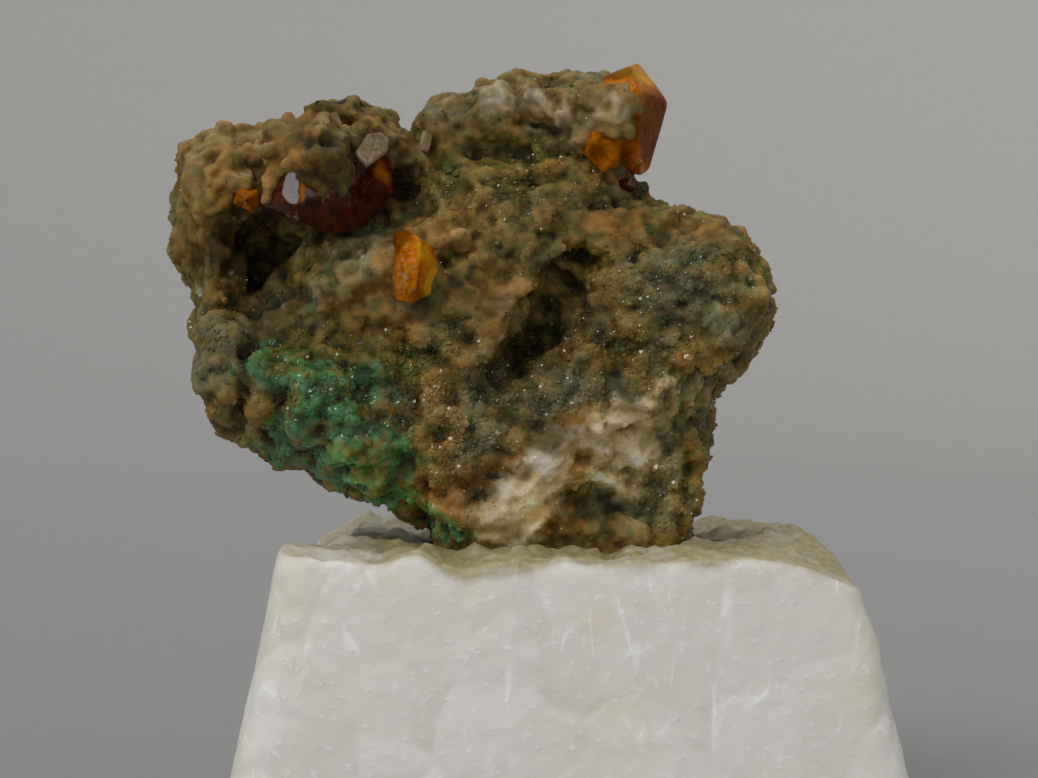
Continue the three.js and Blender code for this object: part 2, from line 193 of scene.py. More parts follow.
# Smaller lumps and pits of the front, in the same form as the relief.
FRONT_DETAIL = [
    # knob
    (-10.6, 16.5, 0.65, 0.2, -0.9, -8), (-12.4, 16, 0.28, 0.2, -0.4), (-12.1, 15.1, 0.24, 0.33, -0.5, 20),
    (-10.9, 16.2, 0.49, 0.45, 0.5), (-12.4, 17.1, 0.65, 0.33, 0.5, 10), (-10.1, 17, 0.73, 0.33, 0.4, 10),
    (-8.2, 18, 0.57, 0.33, 0.4), (-6.8, 18.1, 0.37, 0.33, 0.5), (-5.8, 17.7, 0.41, 0.37, 0.4),
    (-7.1, 17.5, 0.33, 0.24, -0.7), (-7.3, 16.4, 0.33, 0.37, -0.7, -30), (-7.7, 17, 0.28, 0.49, 0.3, -20),
    (-11.7, 15.7, 0.57, 0.57, 0.3), (-11.2, 14.8, 0.57, 0.49, 0.3), (-13.4, 15.3, 0.33, 0.81, 0.3, 10),
    (-13.1, 15, 0.28, 0.49, -0.4, 40), (-13, 13.5, 0.49, 0.81, 0.4, 20), (-13.5, 12.5, 0.41, 0.73, 0.3),
    (-12.1, 13.9, 0.57, 0.41, 0.3), (-5.8, 16.05, 0.75, 0.7, -0.7), (-11.2, 14.8, 0.7, 0.35, 0.7),
    # shoulder
    (-3.5, 17.5, 0.45, 0.49, 0.5), (-2.8, 18.1, 0.57, 0.41, 0.4), (-0.8, 18.4, 0.81, 0.89, 0.8),
    (0, 18.1, 0.24, 0.65, -0.6, 15), (0.4, 18.5, 0.33, 0.37, 0.6), (0.8, 18, 0.49, 0.28, 0.7, -50),
    (1.4, 17.5, 0.49, 0.33, 0.8, -40), (2, 17.3, 0.45, 0.33, 0.7, 20), (2.2, 17.8, 0.28, 0.37, 0.6, 10),
    (1.7, 18.2, 0.61, 0.53, 0.4), (0.9, 17.1, 1.14, 0.37, -0.8, -10), (-0.9, 17, 0.98, 0.45, 0.6, -10),
    (-2, 16.7, 0.49, 0.2, 0.5, 25), (-1.7, 16.1, 0.89, 0.28, -0.6), (-2.8, 16.1, 0.49, 0.41, 0.4),
    (0, 16, 0.73, 0.37, -0.5, -20), (2.7, 18.2, 0.73, 0.57, 0.5), (2.5, 16.7, 0.53, 0.45, 0.6),
    (1.3, 16.5, 0.41, 0.24, 0.4, -20), (1.3, 15.4, 0.57, 0.37, 0.5), (2.3, 14.7, 0.73, 0.41, 0.4),
    (3.7, 14.5, 0.81, 0.37, 0.4, -10),
    # middle
    (-2.3, 13.2, 0.33, 0.28, -0.4), (-2.7, 13.3, 0.24, 0.37, 0.4, 20), (-1.9, 13.5, 0.37, 0.24, 0.4, -20),
    (-2.4, 12.6, 0.37, 0.33, 0.5), (-2.2, 12, 0.49, 0.24, -0.5), (-1.8, 12.5, 0.24, 0.24, -0.4),
    (-1.3, 11.8, 0.37, 0.57, 0.4, 40), (-3, 11.5, 0.28, 0.37, -0.5), (0, 10.5, 0.53, 0.41, 0.7, 10),
    (-0.8, 10.4, 0.37, 0.33, 0.5), (-1.1, 9.7, 0.98, 0.61, 0.6, 20), (-1.9, 8.5, 0.37, 0.24, -0.7, 30),
    (-1.4, 8.1, 0.98, 0.28, 0.7, 50), (-2.9, 9.7, 0.57, 0.49, 0.4), (-3.6, 8.8, 0.57, 0.65, 0.4),
    (-4.8, 9, 0.73, 0.49, 0.3), (-5.6, 8.2, 0.57, 0.41, 0.4), (-6.5, 10.8, 0.89, 0.33, 0.3, 15),
    (-7.7, 10, 1.06, 0.37, 0.3, 10), (-3.6, 7.9, 0.37, 0.24, -0.4), (-0.6, 13.2, 0.57, 0.49, 0.3),
    (0.4, 12.5, 0.65, 0.57, 0.3), (-0.3, 11.8, 0.33, 0.41, -0.4), (1.1, 13.5, 0.57, 0.49, 0.4),
    (-4, 14.5, 0.65, 0.41, 0.3, 30), (-2, 14.9, 0.98, 0.41, 0.4, 10), (0, 14.5, 0.81, 0.41, 0.3, -10),
    # trough
    (1.7, 10.9, 0.6, 0.5, -1.1, 40), (2.5, 11.5, 0.6, 0.4, -0.9, 10), (2.2, 10.5, 0.3, 0.45, -0.6),
    (2.2, 11.1, 0.2, 0.3, 0.5, 20), (0.7, 10, 0.41, 0.33, -0.8), (0.4, 8.3, 0.73, 0.49, -0.8, 30),
    (1.6, 8.8, 0.65, 0.37, -0.5, 30), (-0.6, 7.3, 0.65, 0.37, -0.5, 40),
    # lobe
    (3.2, 12.9, 0.89, 0.89, 0.6), (5.4, 13.3, 1.02, 0.57, 0.5, -15), (4.3, 14.1, 0.61, 0.16, -0.8, -25),
    (3.3, 13.9, 0.37, 0.2, -0.5), (7.4, 13.3, 0.89, 0.28, 0.4, -22), (8.8, 12.3, 0.65, 0.33, 0.4, -50),
    (8.1, 12.3, 0.49, 0.16, -0.5, -15), (4.6, 11.8, 0.2, 0.2, -0.3), (4.9, 10.3, 0.24, 0.16, -0.3),
    (4.6, 9.7, 0.37, 0.16, -0.5, 10), (6.4, 9.7, 0.41, 0.28, -0.5), (9.1, 10.8, 0.24, 0.24, -0.3),
    (8.3, 10, 0.28, 0.24, -0.4), (8.3, 11.1, 0.73, 0.57, 0.4), (6.6, 7.8, 0.69, 0.49, 0.6, 25),
    (5.3, 10, 0.65, 0.41, 0.3), (7, 9, 0.49, 0.49, -0.3), (9.6, 10, 0.49, 0.89, 0.3),
    (7.4, 11.2, 0.49, 0.41, 0.3), (3.7, 10.8, 0.57, 0.37, 0.3), (4.1, 8.8, 0.73, 0.41, 0.3),
    (2.9, 8, 0.65, 0.49, 0.3),
    # malachite
    (-8.8, 6.9, 0.93, 0.73, 0.5), (-8.8, 5.6, 0.89, 0.69, 0.5), (-6.8, 4.2, 1.38, 0.98, 0.7, -15),
    (-5.3, 4.2, 0.81, 0.73, 0.4), (-10.9, 4.7, 0.73, 0.49, 0.5, -25), (-9.6, 3.9, 0.69, 0.45, 0.5, -25),
    (-7.4, 3.2, 0.81, 0.45, 0.4, -20), (-6, 2.3, 0.98, 0.45, 0.5, -28), (-10.4, 7.5, 0.57, 0.49, 0.4),
    (-11.9, 5.6, 0.81, 0.85, 0.9), (-10.3, 5.6, 0.53, 0.77, 0.7, 10), (-8.7, 4.5, 0.45, 0.57, 0.5, 15),
    (-9.8, 3.4, 0.41, 0.33, 0.4), (-11.3, 6, 0.24, 0.24, -0.6), (-9.6, 5.4, 0.24, 0.57, -0.6),
    (-9.3, 6.4, 0.28, 0.24, -0.5), (-7.9, 4.9, 0.33, 0.24, -0.4), (-6.8, 7.1, 0.77, 0.61, 0.5),
    (-5.4, 7.2, 0.85, 0.61, 0.5), (-5.7, 2.8, 0.61, 0.49, 0.4), (-6.1, 6.2, 0.73, 0.37, -0.4),
    (-7.7, 7.8, 1.06, 0.33, 0.3, -5),
    # left edge
    (-12.4, 9, 0.57, 0.57, 0.5), (-11.7, 8.5, 0.65, 0.41, 0.3, 10), (-11, 7.9, 0.28, 0.49, -0.7, -20),
    (-10.3, 9.2, 0.33, 0.57, 0.4), (-10.2, 10, 0.33, 0.37, -0.5), (-12.4, 7.4, 0.65, 0.49, 0.5),
    (-11.3, 7.1, 0.41, 0.33, 0.3), (-12.8, 6.6, 0.41, 0.41, 0.4), (-9.1, 9, 0.98, 0.41, 0.3),
    (-8.1, 8.7, 0.98, 0.28, -0.3), (-10.9, 10.4, 0.57, 0.49, 0.3),
    # lower middle
    (-3.5, 5.9, 0.53, 0.81, 0.5), (-2.6, 5.3, 0.81, 0.65, 0.4), (-3.5, 6.8, 0.49, 0.49, 0.3),
    (-2, 3.7, 0.89, 0.57, 0.4), (-3.2, 3.1, 0.81, 0.65, 0.4), (-4, 1.9, 0.98, 0.57, 0.4, -15),
    (-2.6, 1.5, 0.98, 0.57, 0.3), (-4.6, 3.7, 0.41, 0.73, -0.4), (-0.8, 3, 0.57, 0.37, -0.4),
    (-1.2, 4.7, 0.65, 0.57, 0.3), (-0.2, 6, 0.81, 0.65, 0.4), (1.1, 6.4, 0.73, 0.57, 0.4),
    (1.7, 5.4, 0.73, 0.41, 0.3),
    # vein
    (1.5, 3.9, 1.9, 1, 0.5, 35), (-0.2, 1.7, 1.5, 1, 0.4, 48), (3.1, 4.8, 0.37, 0.37, 0.5, 60),
    (0.3, 2.9, 0.7, 0.25, -0.4, 60), (2.4, 3.6, 0.25, 0.6, -0.4, 20), (-0.9, 1.4, 0.5, 0.3, 0.4, 60),
    (4.1, 5.1, 0.89, 0.28, 0.5), (4.6, 4.5, 0.28, 0.12, -0.7, 10), (4.8, 3.6, 0.49, 0.69, 0.6, 20),
    (3.8, 2.5, 1.22, 0.24, 0.5, -25), (5.9, 3.1, 0.41, 0.41, 0.4), (5.3, 5.8, 0.61, 0.24, 0.4),
    (5.9, 6.6, 0.73, 0.24, 0.4, 40),
    # lower right
    (3.3, 1.6, 1.63, 0.73, -0.7, 10), (6.1, 1.2, 0.33, 0.81, 0.4), (7.6, 3.9, 0.33, 0.81, 0.4, -10),
    (4.9, 1.9, 0.57, 0.33, 0.4, 30), (7, 2.3, 0.33, 0.73, -0.4), (6.7, 5.1, 0.57, 0.89, -0.4),
    (5.3, 0.7, 0.73, 0.41, 0.3), (2.9, 0.7, 0.81, 0.37, 0.3),
]

# Where each growth shows on the front, in the same form: the rise is its strength.
ZONES = {
    "slate": [
        (7.4, 10.4, 3.2, 3.2, 0.8), (2.2, 6.2, 2, 1.4, 0.8), (5.2, 2.4, 2.4, 2.2, 1.1),
        (-3.5, 17.9, 0.9, 0.8, 0.9), (3.6, 19.5, 1.2, 0.4, 1.2), (0.9, 17, 1.3, 0.5, 0.9, -10),
        (-12.4, 8, 1.6, 2.2, 0.9), (-2.2, 4.2, 1.4, 1.8, 0.8), (4.8, 4.4, 1.8, 1.2, 0.7),
        (-6.5, 12.6, 1.6, 0.7, 0.7, 10), (-1.5, 6.6, 1.2, 0.8, 0.7, 40), (-7.5, 10.6, 2.6, 1.3, 0.9, 10),
        (6.4, 5.9, 1.2, 1.2, 0.9), (0.6, 6, 1.2, 1, 0.8), (3.4, 5.9, 0.9, 0.8, 0.8),
    ],
    "crust": [
        (-9.6, 16.2, 5, 2.4, 1.4), (-13, 13.5, 1.8, 3.6, 1.1), (-5.5, 10.8, 3.2, 1.4, 0.8, 20),
        (-0.6, 10.2, 1.6, 1.4, 0.8, 40), (1.7, 4.2, 2.1, 1.1, 1.7, 35), (3.2, 12.9, 1.3, 1.2, 0.7),
        (7, 13, 2.6, 0.6, 0.8, -25), (-1.2, 8, 1.2, 0.5, 0.9, 50), (-2.2, 13.2, 1.4, 1, 0.7),
        (1, 17.6, 3, 1, 0.8), (6.4, 7.4, 1, 0.6, 0.8, 30), (-12, 5.8, 1, 0.9, 0.5), (-10, 5.5, 0.7, 0.7, 0.5),
        (-6.3, 5.9, 1.2, 0.6, 0.7), (3.8, 17.4, 1.3, 0.9, 0.9),
    ],
    "olive": [
        (-0.5, 15.6, 4.4, 1.4, 0.9), (-8, 8.9, 3, 1, 0.6), (1, 9, 2.6, 1.2, 0.9, 50),
        (-10.3, 12, 2.2, 1.7, 1), (7.4, 3.4, 0.9, 3, 0.8), (-5, 7.6, 2, 1.2, 0.7),
        (-6.6, 17.7, 1.7, 0.8, 1.2), (-11.7, 15.6, 0.5, 0.5, 0.7), (-6, 14, 1, 0.9, 1),
        (-12.6, 17.2, 1.2, 0.35, 0.8, 10), (-13.2, 12.3, 0.9, 1.6, 0.8), (4.3, 17.2, 0.45, 0.35, 0.9),
        (-9.9, 17.2, 0.8, 0.35, 0.7), (-7.4, 8, 2.4, 0.4, 0.9, -5), (-8, 4.4, 0.4, 0.6, 0.7),
        (7.9, 11.6, 1.2, 1, 1),
    ],
    # Partly painted shade: the entries in the cavity under the knob and along its undercut darken where shade
    # falls; the rest is the dome's own dark velvet.
    "umber_and_shade": [
        (-7.4, 15.2, 1.5, 1.5, 1.3), (-11.9, 12.2, 1.3, 1.5, 0.9), (4.9, 14.8, 0.6, 0.5, 1),
        (-8.6, 13.6, 1.9, 0.5, 1.1, 10), (-5.9, 16, 0.9, 1, 0.9), (-10.6, 11.6, 1.4, 1.6, 1),
        (-5.8, 13.8, 1.5, 0.4, 0.6, 10), (-4.9, 14.6, 0.9, 1.3, 1.1, -35), (-8, 18.2, 2.4, 0.4, 0.9),
    ],
    "rust": [
        (-3.4, 5.6, 1.3, 1.7, 0.75), (-2.8, 2.4, 2, 1, 0.75), (-0.8, 3.3, 0.7, 0.6, 1),
        (-4.2, 1.4, 1.8, 0.8, 0.7, -20), (1.8, 1.2, 0.5, 1, 0.8), (4.9, 12.6, 1, 0.6, 0.6),
        (-9.6, 14.2, 0.6, 0.5, 0.8), (-5.6, 14.9, 0.5, 0.8, 0.9), (-12.2, 15.3, 0.5, 0.5, 0.6),
    ],
    "malachite": [
        (-10.2, 7.6, 0.9, 0.9, 1.1), (-8.4, 6.8, 1.6, 1, 1.2, -20), (-6, 6.7, 1.1, 0.8, 1),
        (-9.1, 4.8, 1.1, 0.9, 1.1), (-6.1, 4.2, 2, 1.2, 1.4, -15), (-5, 2, 2.2, 0.5, 1.1, -25),
        (-3, 0.6, 2, 0.35, 0.9, -10), (-10.7, 4, 1.2, 0.45, 0.9, -30), (-7.4, 3, 1.6, 0.8, 1.4, -25),
        (-7.3, 5.6, 0.6, 0.5, 0.8), (-11.6, 7.2, 0.4, 0.4, 0.6), (-6, 3.2, 1.6, 0.7, 0.9, -20),
    ],
    "cream": [
        (-0.8, 18.4, 0.9, 0.9, 1), (0.6, 18.2, 0.5, 0.7, 0.9, -20), (1.5, 17.5, 0.9, 0.45, 1.1, -35),
        (3.5, 17.9, 1.1, 0.8, 0.9), (2.5, 16.8, 0.8, 0.6, 0.9), (-2.2, 12.8, 0.8, 0.7, 0.8),
        (-0.8, 10, 1, 0.8, 0.6, 30), (-2.8, 18.1, 0.7, 0.5, 0.7), (-1.2, 8, 1, 0.3, 0.6, 50),
    ],
    "chalk": [
        (0, 1.8, 1.9, 1.1, 2, 50), (4.2, 4.7, 1.3, 1.4, 1.1), (4.9, 3.5, 0.9, 0.8, 0.9),
        (1.9, 4.2, 2, 0.8, 0.4, 38), (5.6, 6.4, 1.4, 0.4, 0.35, 42), (3.8, 2.5, 1.4, 0.4, 0.7, -25),
    ],
}

# Darker and lighter places of the front, partly the rock's own tone and partly painted light and shade:
# painted shade in the cavity under the knob, painted light on the foot that faces down. The same form,
# the strength as the power of e.
TONES_AND_PAINTED_LIGHT = [
    (-2.2, 17.5, 1.3, 0.8, -0.6), (-1, 16.2, 0.8, 0.6, 0.5), (-7, 17.8, 1.3, 0.5, -0.5),
    (3.4, 17.6, 0.9, 0.7, 0.4), (-6.9, 11.6, 2, 1, 0.55), (-10, 9.8, 1.4, 1.4, -0.65),
    (-13, 12, 0.9, 1.2, -0.6), (-2.6, 10.3, 0.7, 0.6, -0.6), (1.9, 8.8, 1.1, 0.8, -0.8, 30),
    (0.3, 7.4, 0.9, 0.6, -0.8, 30), (3.4, 9.9, 0.8, 0.8, -0.4), (6.4, 6.2, 1.3, 1.5, 0.75),
    (6, 2.6, 1.5, 1.1, 0.8), (3, 2.9, 1.3, 0.9, 0.9), (0.5, 1.6, 0.8, 0.8, 0.65),
    (1.6, 4.5, 1, 0.7, -0.8, 30), (7.9, 11.7, 1, 0.7, -0.8), (7.9, 10, 0.9, 0.7, 0.5),
    (-5.3, 2.3, 2.2, 1.3, 0.85, -20), (-7.9, 15.2, 1.2, 1.2, 0.1), (-5.6, 13.4, 0.9, 0.7, 0.6),
    (8, 7.4, 0.9, 0.9, 0.5), (0.3, 16.3, 0.9, 0.8, 0.5), (-1.2, 9, 0.8, 1, -0.4), (-2.5, 5.8, 0.9, 0.8, 0.5),
    (-7.2, 3.4, 1, 0.9, 0.5, -20), (9, 10.8, 1.2, 1.3, 0.5), (-0.6, 3, 0.8, 0.7, -0.2),
    (-10.4, 14.6, 0.7, 0.6, 0.4), (-13, 13.4, 0.8, 0.8, 0.4), (3.3, 11.8, 0.8, 0.7, 0.5),
    (4.8, 1, 0.9, 0.8, 0.3), (-3, 8.8, 0.8, 0.8, 0.5), (-4.1, 7.3, 0.9, 0.8, 0.5),
    (-1.2, 10.4, 0.9, 0.7, -0.35), (0.3, 10.3, 0.7, 0.7, 0.4), (6.4, 13.2, 0.9, 0.7, 0.4),
    (6.3, 10.2, 0.9, 0.8, -0.35), (-5.6, 16.3, 0.8, 0.8, -0.4), (-11.6, 10.3, 0.7, 0.7, 0.6),
]

# Where the druse glitters most, in the same form.
GLITTER = [
    (-2.4, 5.2, 2.2, 2.8, 1), (2.2, 6.6, 2.8, 1.5, 1, 40), (5.4, 1.8, 2.2, 1.4, 0.5),
    (6.6, 10, 2.8, 2.6, 0.45), (-5.4, 7.8, 2.2, 1.2, 0.4), (-11.5, 8.4, 1.6, 1.6, 0.3),
    (-0.5, 14.6, 3, 1, 0.3), (-7.6, 5.4, 3, 1.8, 0.4),
]

# Each crystal as the corners of one or more convex parts.
CRYSTALS = {
    "wulfenite_centre": [[
        (-4.5, -5.4, 12.9), (-5.05, -5.1, 12.75), (-5.2, -5, 11.8), (-5.15, -5, 10.8), (-4.95, -5.2, 9.95),
        (-4.3, -5.5, 9.85), (-3.4, -5, 10.3), (-3.1, -4.9, 11.15), (-3.4, -5, 12.1), (-3.9, -6, 12.4),
        (-3.95, -6.7, 11.5), (-4.1, -6.5, 10.4), (-4.75, -6.3, 11.5), (-4.4, -3.6, 11.5),
    ]],
    "wulfenite_summit": [
        [
            (5, -1, 20.1), (4.5, -3, 19.7), (4.9, -4.2, 18.5), (4.85, -4, 16.3), (5.85, -1.2, 19.1),
            (6.3, -1, 18.4), (6.2, -1.2, 17.9), (5.8, -1, 16.6), (5.45, -1.5, 15.5), (5.1, -2.2, 15.2),
            (4.5, -2.6, 15.4), (3.4, -2, 19.4), (3.3, -3.6, 18.5), (3.9, 1, 19.6), (5.85, 1.2, 19),
            (5.6, 0.8, 16.6), (3.7, 0.5, 17),
        ],
        [
            (2.4, -3.6, 16.2), (3.4, -4.3, 15.2), (4.05, -4, 15.9), (3, -4.6, 16.6), (4.35, -3.6, 17.4),
            (3.3, -3.6, 18.5), (3, -2, 18), (4.4, -2, 15.7), (3, -2, 15.9),
        ],
    ],
    "wulfenite_knob": [[
        (-9.25, -7.41, 14.95), (-8.67, -7.53, 15.03), (-8.6, -7.8, 14.3), (-8.66, -8.02, 13.65),
        (-9.1, -7.91, 13.65), (-9.43, -7.63, 14.2), (-8.35, -7.75, 13.68), (-8.62, -7.45, 13.05),
        (-9.35, -7, 13.3), (-10.25, -6.4, 13.65), (-7.55, -6.2, 12.55), (-6.25, -5, 12.9), (-5.1, -4, 14.35),
        (-5.2, -4.2, 15.75), (-6.9, -7, 14.3), (-6.5, -6.4, 13.75), (-9.1, -6.6, 16), (-6.8, -5.6, 16.4),
        (-5.65, -4.4, 16.5), (-10.3, -3, 15), (-7.9, -1.5, 14.3), (-5.85, -1.5, 14.7), (-8.35, -1.5, 16.4),
    ]],
    "wulfenite_plate": [[
        (-6.5, -6.2, 15.9), (-6.1, -6, 16.6), (-5.5, -6, 16.7), (-5.15, -6.2, 16.4), (-5.2, -6.4, 15.9),
        (-6.1, -6.6, 15.2), (-6.45, -6.4, 15.65), (-6.4, -5.6, 15.9), (-6.05, -5.4, 16.5), (-5.2, -5.6, 16.3),
        (-5.3, -5.8, 15.9),
    ]],
    "wulfenite_left": [[
        (-11.6, -4.6, 13.95), (-11.45, -4.8, 14.4), (-11.1, -4.6, 14.65), (-10.6, -4.6, 14.5),
        (-10.5, -4.8, 13.85), (-10.85, -5, 13.6), (-11, -5.4, 14.05), (-11, -3.6, 14.2),
    ]],
    "wulfenite_red": [[
        (4.1, -3.2, 15), (4.6, -3.2, 15.1), (4.85, -3, 14.7), (4.4, -3.2, 14.35), (4, -3.2, 14.6),
        (4.4, -3.8, 14.75), (4.4, -2.2, 14.7),
    ]],
    "pale_blade": [[
        (-4, -3.6, 17), (-3.65, -3.6, 17.1), (-3.5, -3.8, 16.8), (-3.7, -4.4, 16.05), (-4.05, -4.4, 16.15),
        (-4, -3.2, 16.9), (-3.6, -3.2, 17), (-3.8, -3.6, 15.9),
    ]],
    "pale_prism": [[
        (-7.65, -4.6, 17.6), (-7.45, -4.6, 17.65), (-7.1, -5.2, 17.1), (-7.3, -5.2, 17), (-7.6, -4.2, 17.4),
        (-7.4, -4.2, 17.45), (-7.15, -4.7, 16.9),
    ]],
}

# Frosted places on the crystals, and places of painted light (glow) and painted shade (dim), in the form of
# the zones.
FROST = [
    (-4.6, 10.9, 0.55, 0.7, 1.4, 10), (-4.3, 12.1, 0.35, 0.3, 0.7, 30), (-4.6, 9.95, 0.5, 0.2, 0.7),
    (3, 17.6, 1.4, 1, 0.9), (5.1, 15.6, 0.5, 0.6, 1.1), (-8.9, 13.3, 0.3, 0.3, 0.8),
    (-11.2, 13.9, 0.3, 0.3, 0.8),
]
GLOW = [
    (-3.45, 10.7, 0.3, 0.8, 1.3, -20), (-3.8, 11.9, 0.3, 0.5, 0.8, 30), (5.3, 19.2, 0.5, 0.3, 0.9),
    (4.4, 19.6, 0.9, 0.4, 0.9), (-5.5, 15.1, 0.5, 0.45, 0.6), (4.3, 16.4, 0.3, 0.4, 0.5, 20),
    (-8.5, 14.2, 0.12, 0.5, 0.7),
]
DIM = [
    (5.75, 17.6, 0.6, 1.4, 1.3, -10), (5.5, 16.2, 0.4, 0.7, 0.8), (-5, 12, 0.3, 0.6, 0.6),
    (-4.1, 10.4, 0.25, 0.5, 0.5), (3.3, 16, 0.8, 0.7, 0.9), (4.1, 19.5, 0.9, 0.5, 1.1),
    (-4.6, 12.6, 0.7, 0.5, 0.9), (5, 17, 0.4, 1.3, 0.6), (-11.1, 14.1, 0.6, 0.6, 0.8),
]

# The druse's pieces: size and number as shares of the settings, and how much of it grows on crust.
DRUSES = (
    ("druse_coarse", 1.9, 0.35, 0.03), ("druse_middle", 1.1, 1.0, 0.1), ("druse_fine", 0.7, 1.0, 0.3),
)
# How much the quartz points lean from the normal, and how much their widths and colours vary.
LEAN, WIDTH_SPREAD, SHADE_SPREAD, HUE_SPREAD = 0.5, 0.3, 0.12, 0.03
FLATTEST, TALLEST = 0.25, 0.6  # a point's height as a share of its width
GIRDLE, TIP, ROOT = 0.05, 0.7, -0.6  # heights of a point's widest ring and of its two ends
# How thick the druse grows ahead, where it glitters and behind.
DRUSE_AHEAD, DRUSE_GLITTER, DRUSE_BEHIND = 0.15, 1.6, 0.3

BIG_CRYSTALS = ("wulfenite_centre", "wulfenite_summit", "wulfenite_knob")
BIG_ROWS, SMALL_ROWS = 90, 40  # of faces from pole to pole
SMALL_EDGE = 0.35  # the small crystals' rounded edges, as a share of the big ones'
TERRACE, TERRACE_SIZE = 0.03, 0.9  # height of the growth steps on a face, and their distance apart
GRAZING = 0.02  # the cosine below which a plane counts as facing away
NO_PLANE = 60.0  # the distance to a plane that faces away

# ---- Noise on whole arrays: size in mm, and a seed ----

LATTICE = 64  # the random lattices repeat after this many cells


def smooth(low, high, value):
    """0 below low, 1 above high, and 3t^2 - 2t^3 between."""
    t = np.clip((value - low) / (high - low), 0, 1)
    return t * t * (3 - 2 * t)


def clouds(points, size, seed):
    """Smooth noise from -1 to 1: random values on a cubic lattice `size` mm apart, eased between the
    eight corners round each point."""
    table = np.random.default_rng(seed).uniform(-1, 1, (LATTICE,) * 3)
    cell = np.floor(points / size).astype(int)
    t = points / size - cell
    t = t * t * (3 - 2 * t)
    total = np.zeros(len(points))
    for corner in np.ndindex(2, 2, 2):
        weight = np.where(corner, t, 1 - t).prod(axis=1)
        total += weight * table[tuple(((cell + corner) % LATTICE).T)]
    return total


def rough(points, size, seed, octaves=3, gain=0.5):
    """Clouds at `size`, half of it, a quarter and so on, each `gain` times the one before."""
    layers = (gain**k * clouds(points, size / 2**k, seed + k) for k in range(octaves))
    return sum(layers)


def grains(points, size, seed):
    """Distances to the nearest and second nearest of points strewn one to each cube of `size` mm, as
    shares of size, and a random number from 0 to 1 of the nearest."""
    rng = np.random.default_rng(seed)
    jitter = rng.uniform(0, 1, (LATTICE,) * 3 + (3,))
    mark = rng.uniform(0, 1, (LATTICE,) * 3)
    place = points / size
    cell = np.floor(place).astype(int)
    first = np.full(len(points), 9.0)  # farther than any neighbour
    second = first.copy()
    nearest = np.zeros(len(points))
    for step in np.ndindex(3, 3, 3):
        other = cell + np.array(step) - 1
        index = tuple((other % LATTICE).T)
        gap = np.linalg.norm(other + jitter[index] - place, axis=1)
        closer = gap < first
        second = np.where(closer, first, np.minimum(second, gap))
        nearest = np.where(closer, mark[index], nearest)
        first = np.where(closer, gap, first)
    return first, second, nearest


def domes(points, size, seed, least=1.0, reach=0.85):
    """Round knobs packed side by side: 1 - q^2 at q times `reach` from a grain's middle, times its own
    height from `least` to 1. Gives also the random number of the grain."""
    first, _, mark = grains(points, size, seed)
    return (least + (1 - least) * mark) * np.clip(1 - (first / reach) ** 2, 0, 1), mark


def stirred(points, size, amount, seed):
    """The points moved about by up to `amount` mm by three clouds of a size."""
    return points + amount * np.stack([clouds(points, size, seed + k) for k in range(3)], 1)


def drawn_again(mark, factor):
    """Another random number from 0 to 1 out of one."""
    return (mark * factor) % 1


def turned(across, up, degrees):
    """Two coordinates as read on axes that are turned by an angle."""
    cos, sin = math.cos(math.radians(degrees)), math.sin(math.radians(degrees))
    return across * cos + up * sin, up * cos - across * sin


def soft_ellipses(x, z, entries):
    """The sum over entries of strength times exp(-q^2), where q is the distance from an entry's middle
    as a share of its half sizes, which may be turned."""
    total = np.zeros(len(x))
    for at_x, at_z, half_x, half_z, strength, *turn in entries:
        along, beside = turned(x - at_x, z - at_z, *(turn or [0]))
        along, beside = along / half_x, beside / half_z
        total += strength * np.exp(-along * along - beside * beside)
    return total


def blend(start, end, share):
    """start + share (end - start), for colours with a share for each."""
    return start + share[:, None] * (np.array(end) - start)


def ahead_of(points):
    """1 on the specimen's front, easing to 0 behind its middle plane."""
    return 1 - smooth(-1.0, 3.0, points[:, 1])


# ---- Meshes from arrays ----


def new_object(name, points, faces, smooth_shading=True):
    """A mesh object from points in mm and faces that all have the same number of corners."""
    mesh = bpy.data.meshes.new(name)
    mesh.vertices.add(len(points))
    mesh.vertices.foreach_set("co", ((points + ORIGIN) * MM).astype(np.float32).ravel())
    mesh.loops.add(faces.size)
    mesh.loops.foreach_set("vertex_index", faces.astype(np.int32).ravel())
    mesh.polygons.add(len(faces))
    mesh.polygons.foreach_set("loop_start", np.arange(0, faces.size, faces.shape[1], dtype=np.int32))
    mesh.polygons.foreach_set("use_smooth", np.full(len(faces), smooth_shading))
    mesh.update(calc_edges=True)
    mesh.validate()
    obj = bpy.data.objects.new(name, mesh)
    bpy.context.collection.objects.link(obj)
    return obj


def read_mesh(mesh):
    """A mesh's points in mm and its faces, which all have the same number of corners."""
    points = np.empty(3 * len(mesh.vertices), np.float32)
    mesh.vertices.foreach_get("co", points)
    loops = np.empty(len(mesh.loops), np.int32)
    mesh.loops.foreach_get("vertex_index", loops)
    points = points.reshape(-1, 3).astype(float) / MM - ORIGIN
    return points, loops.reshape(len(mesh.polygons), -1)


def write_attributes(mesh, values):
    """Writes each named array of numbers, or of linear colours, onto the mesh's points."""
    for name, numbers in values.items():
        colours = numbers.ndim == 2
        attribute = mesh.attributes.new(name, "FLOAT_COLOR" if colours else "FLOAT", "POINT")
        if colours:
            numbers = np.c_[numbers, np.ones(len(numbers))]
        attribute.data.foreach_set("color" if colours else "value", numbers.astype(np.float32).ravel())


def finish_piece(obj, material, node=None):
    """Gives a piece its material and body, and hides the CAD node that it stands for."""
    obj.data.materials.append(material)
    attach(obj, "root")
    if node:
        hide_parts(node)


def grid_faces(rows, columns):
    """Quads of a grid of rows by columns points, numbered row by row."""
    first = (np.arange(rows - 1)[:, None] * columns + np.arange(columns - 1)).ravel()
    return np.stack([first, first + 1, first + columns + 1, first + columns], axis=1)


def join_shells(shells):
    """One list of points and one of faces from several."""
    starts = np.cumsum([0] + [len(points) for points, _ in shells[:-1]])
    faces = np.concatenate([faces + start for (_, faces), start in zip(shells, starts)])
    return np.concatenate([points for points, _ in shells]), faces


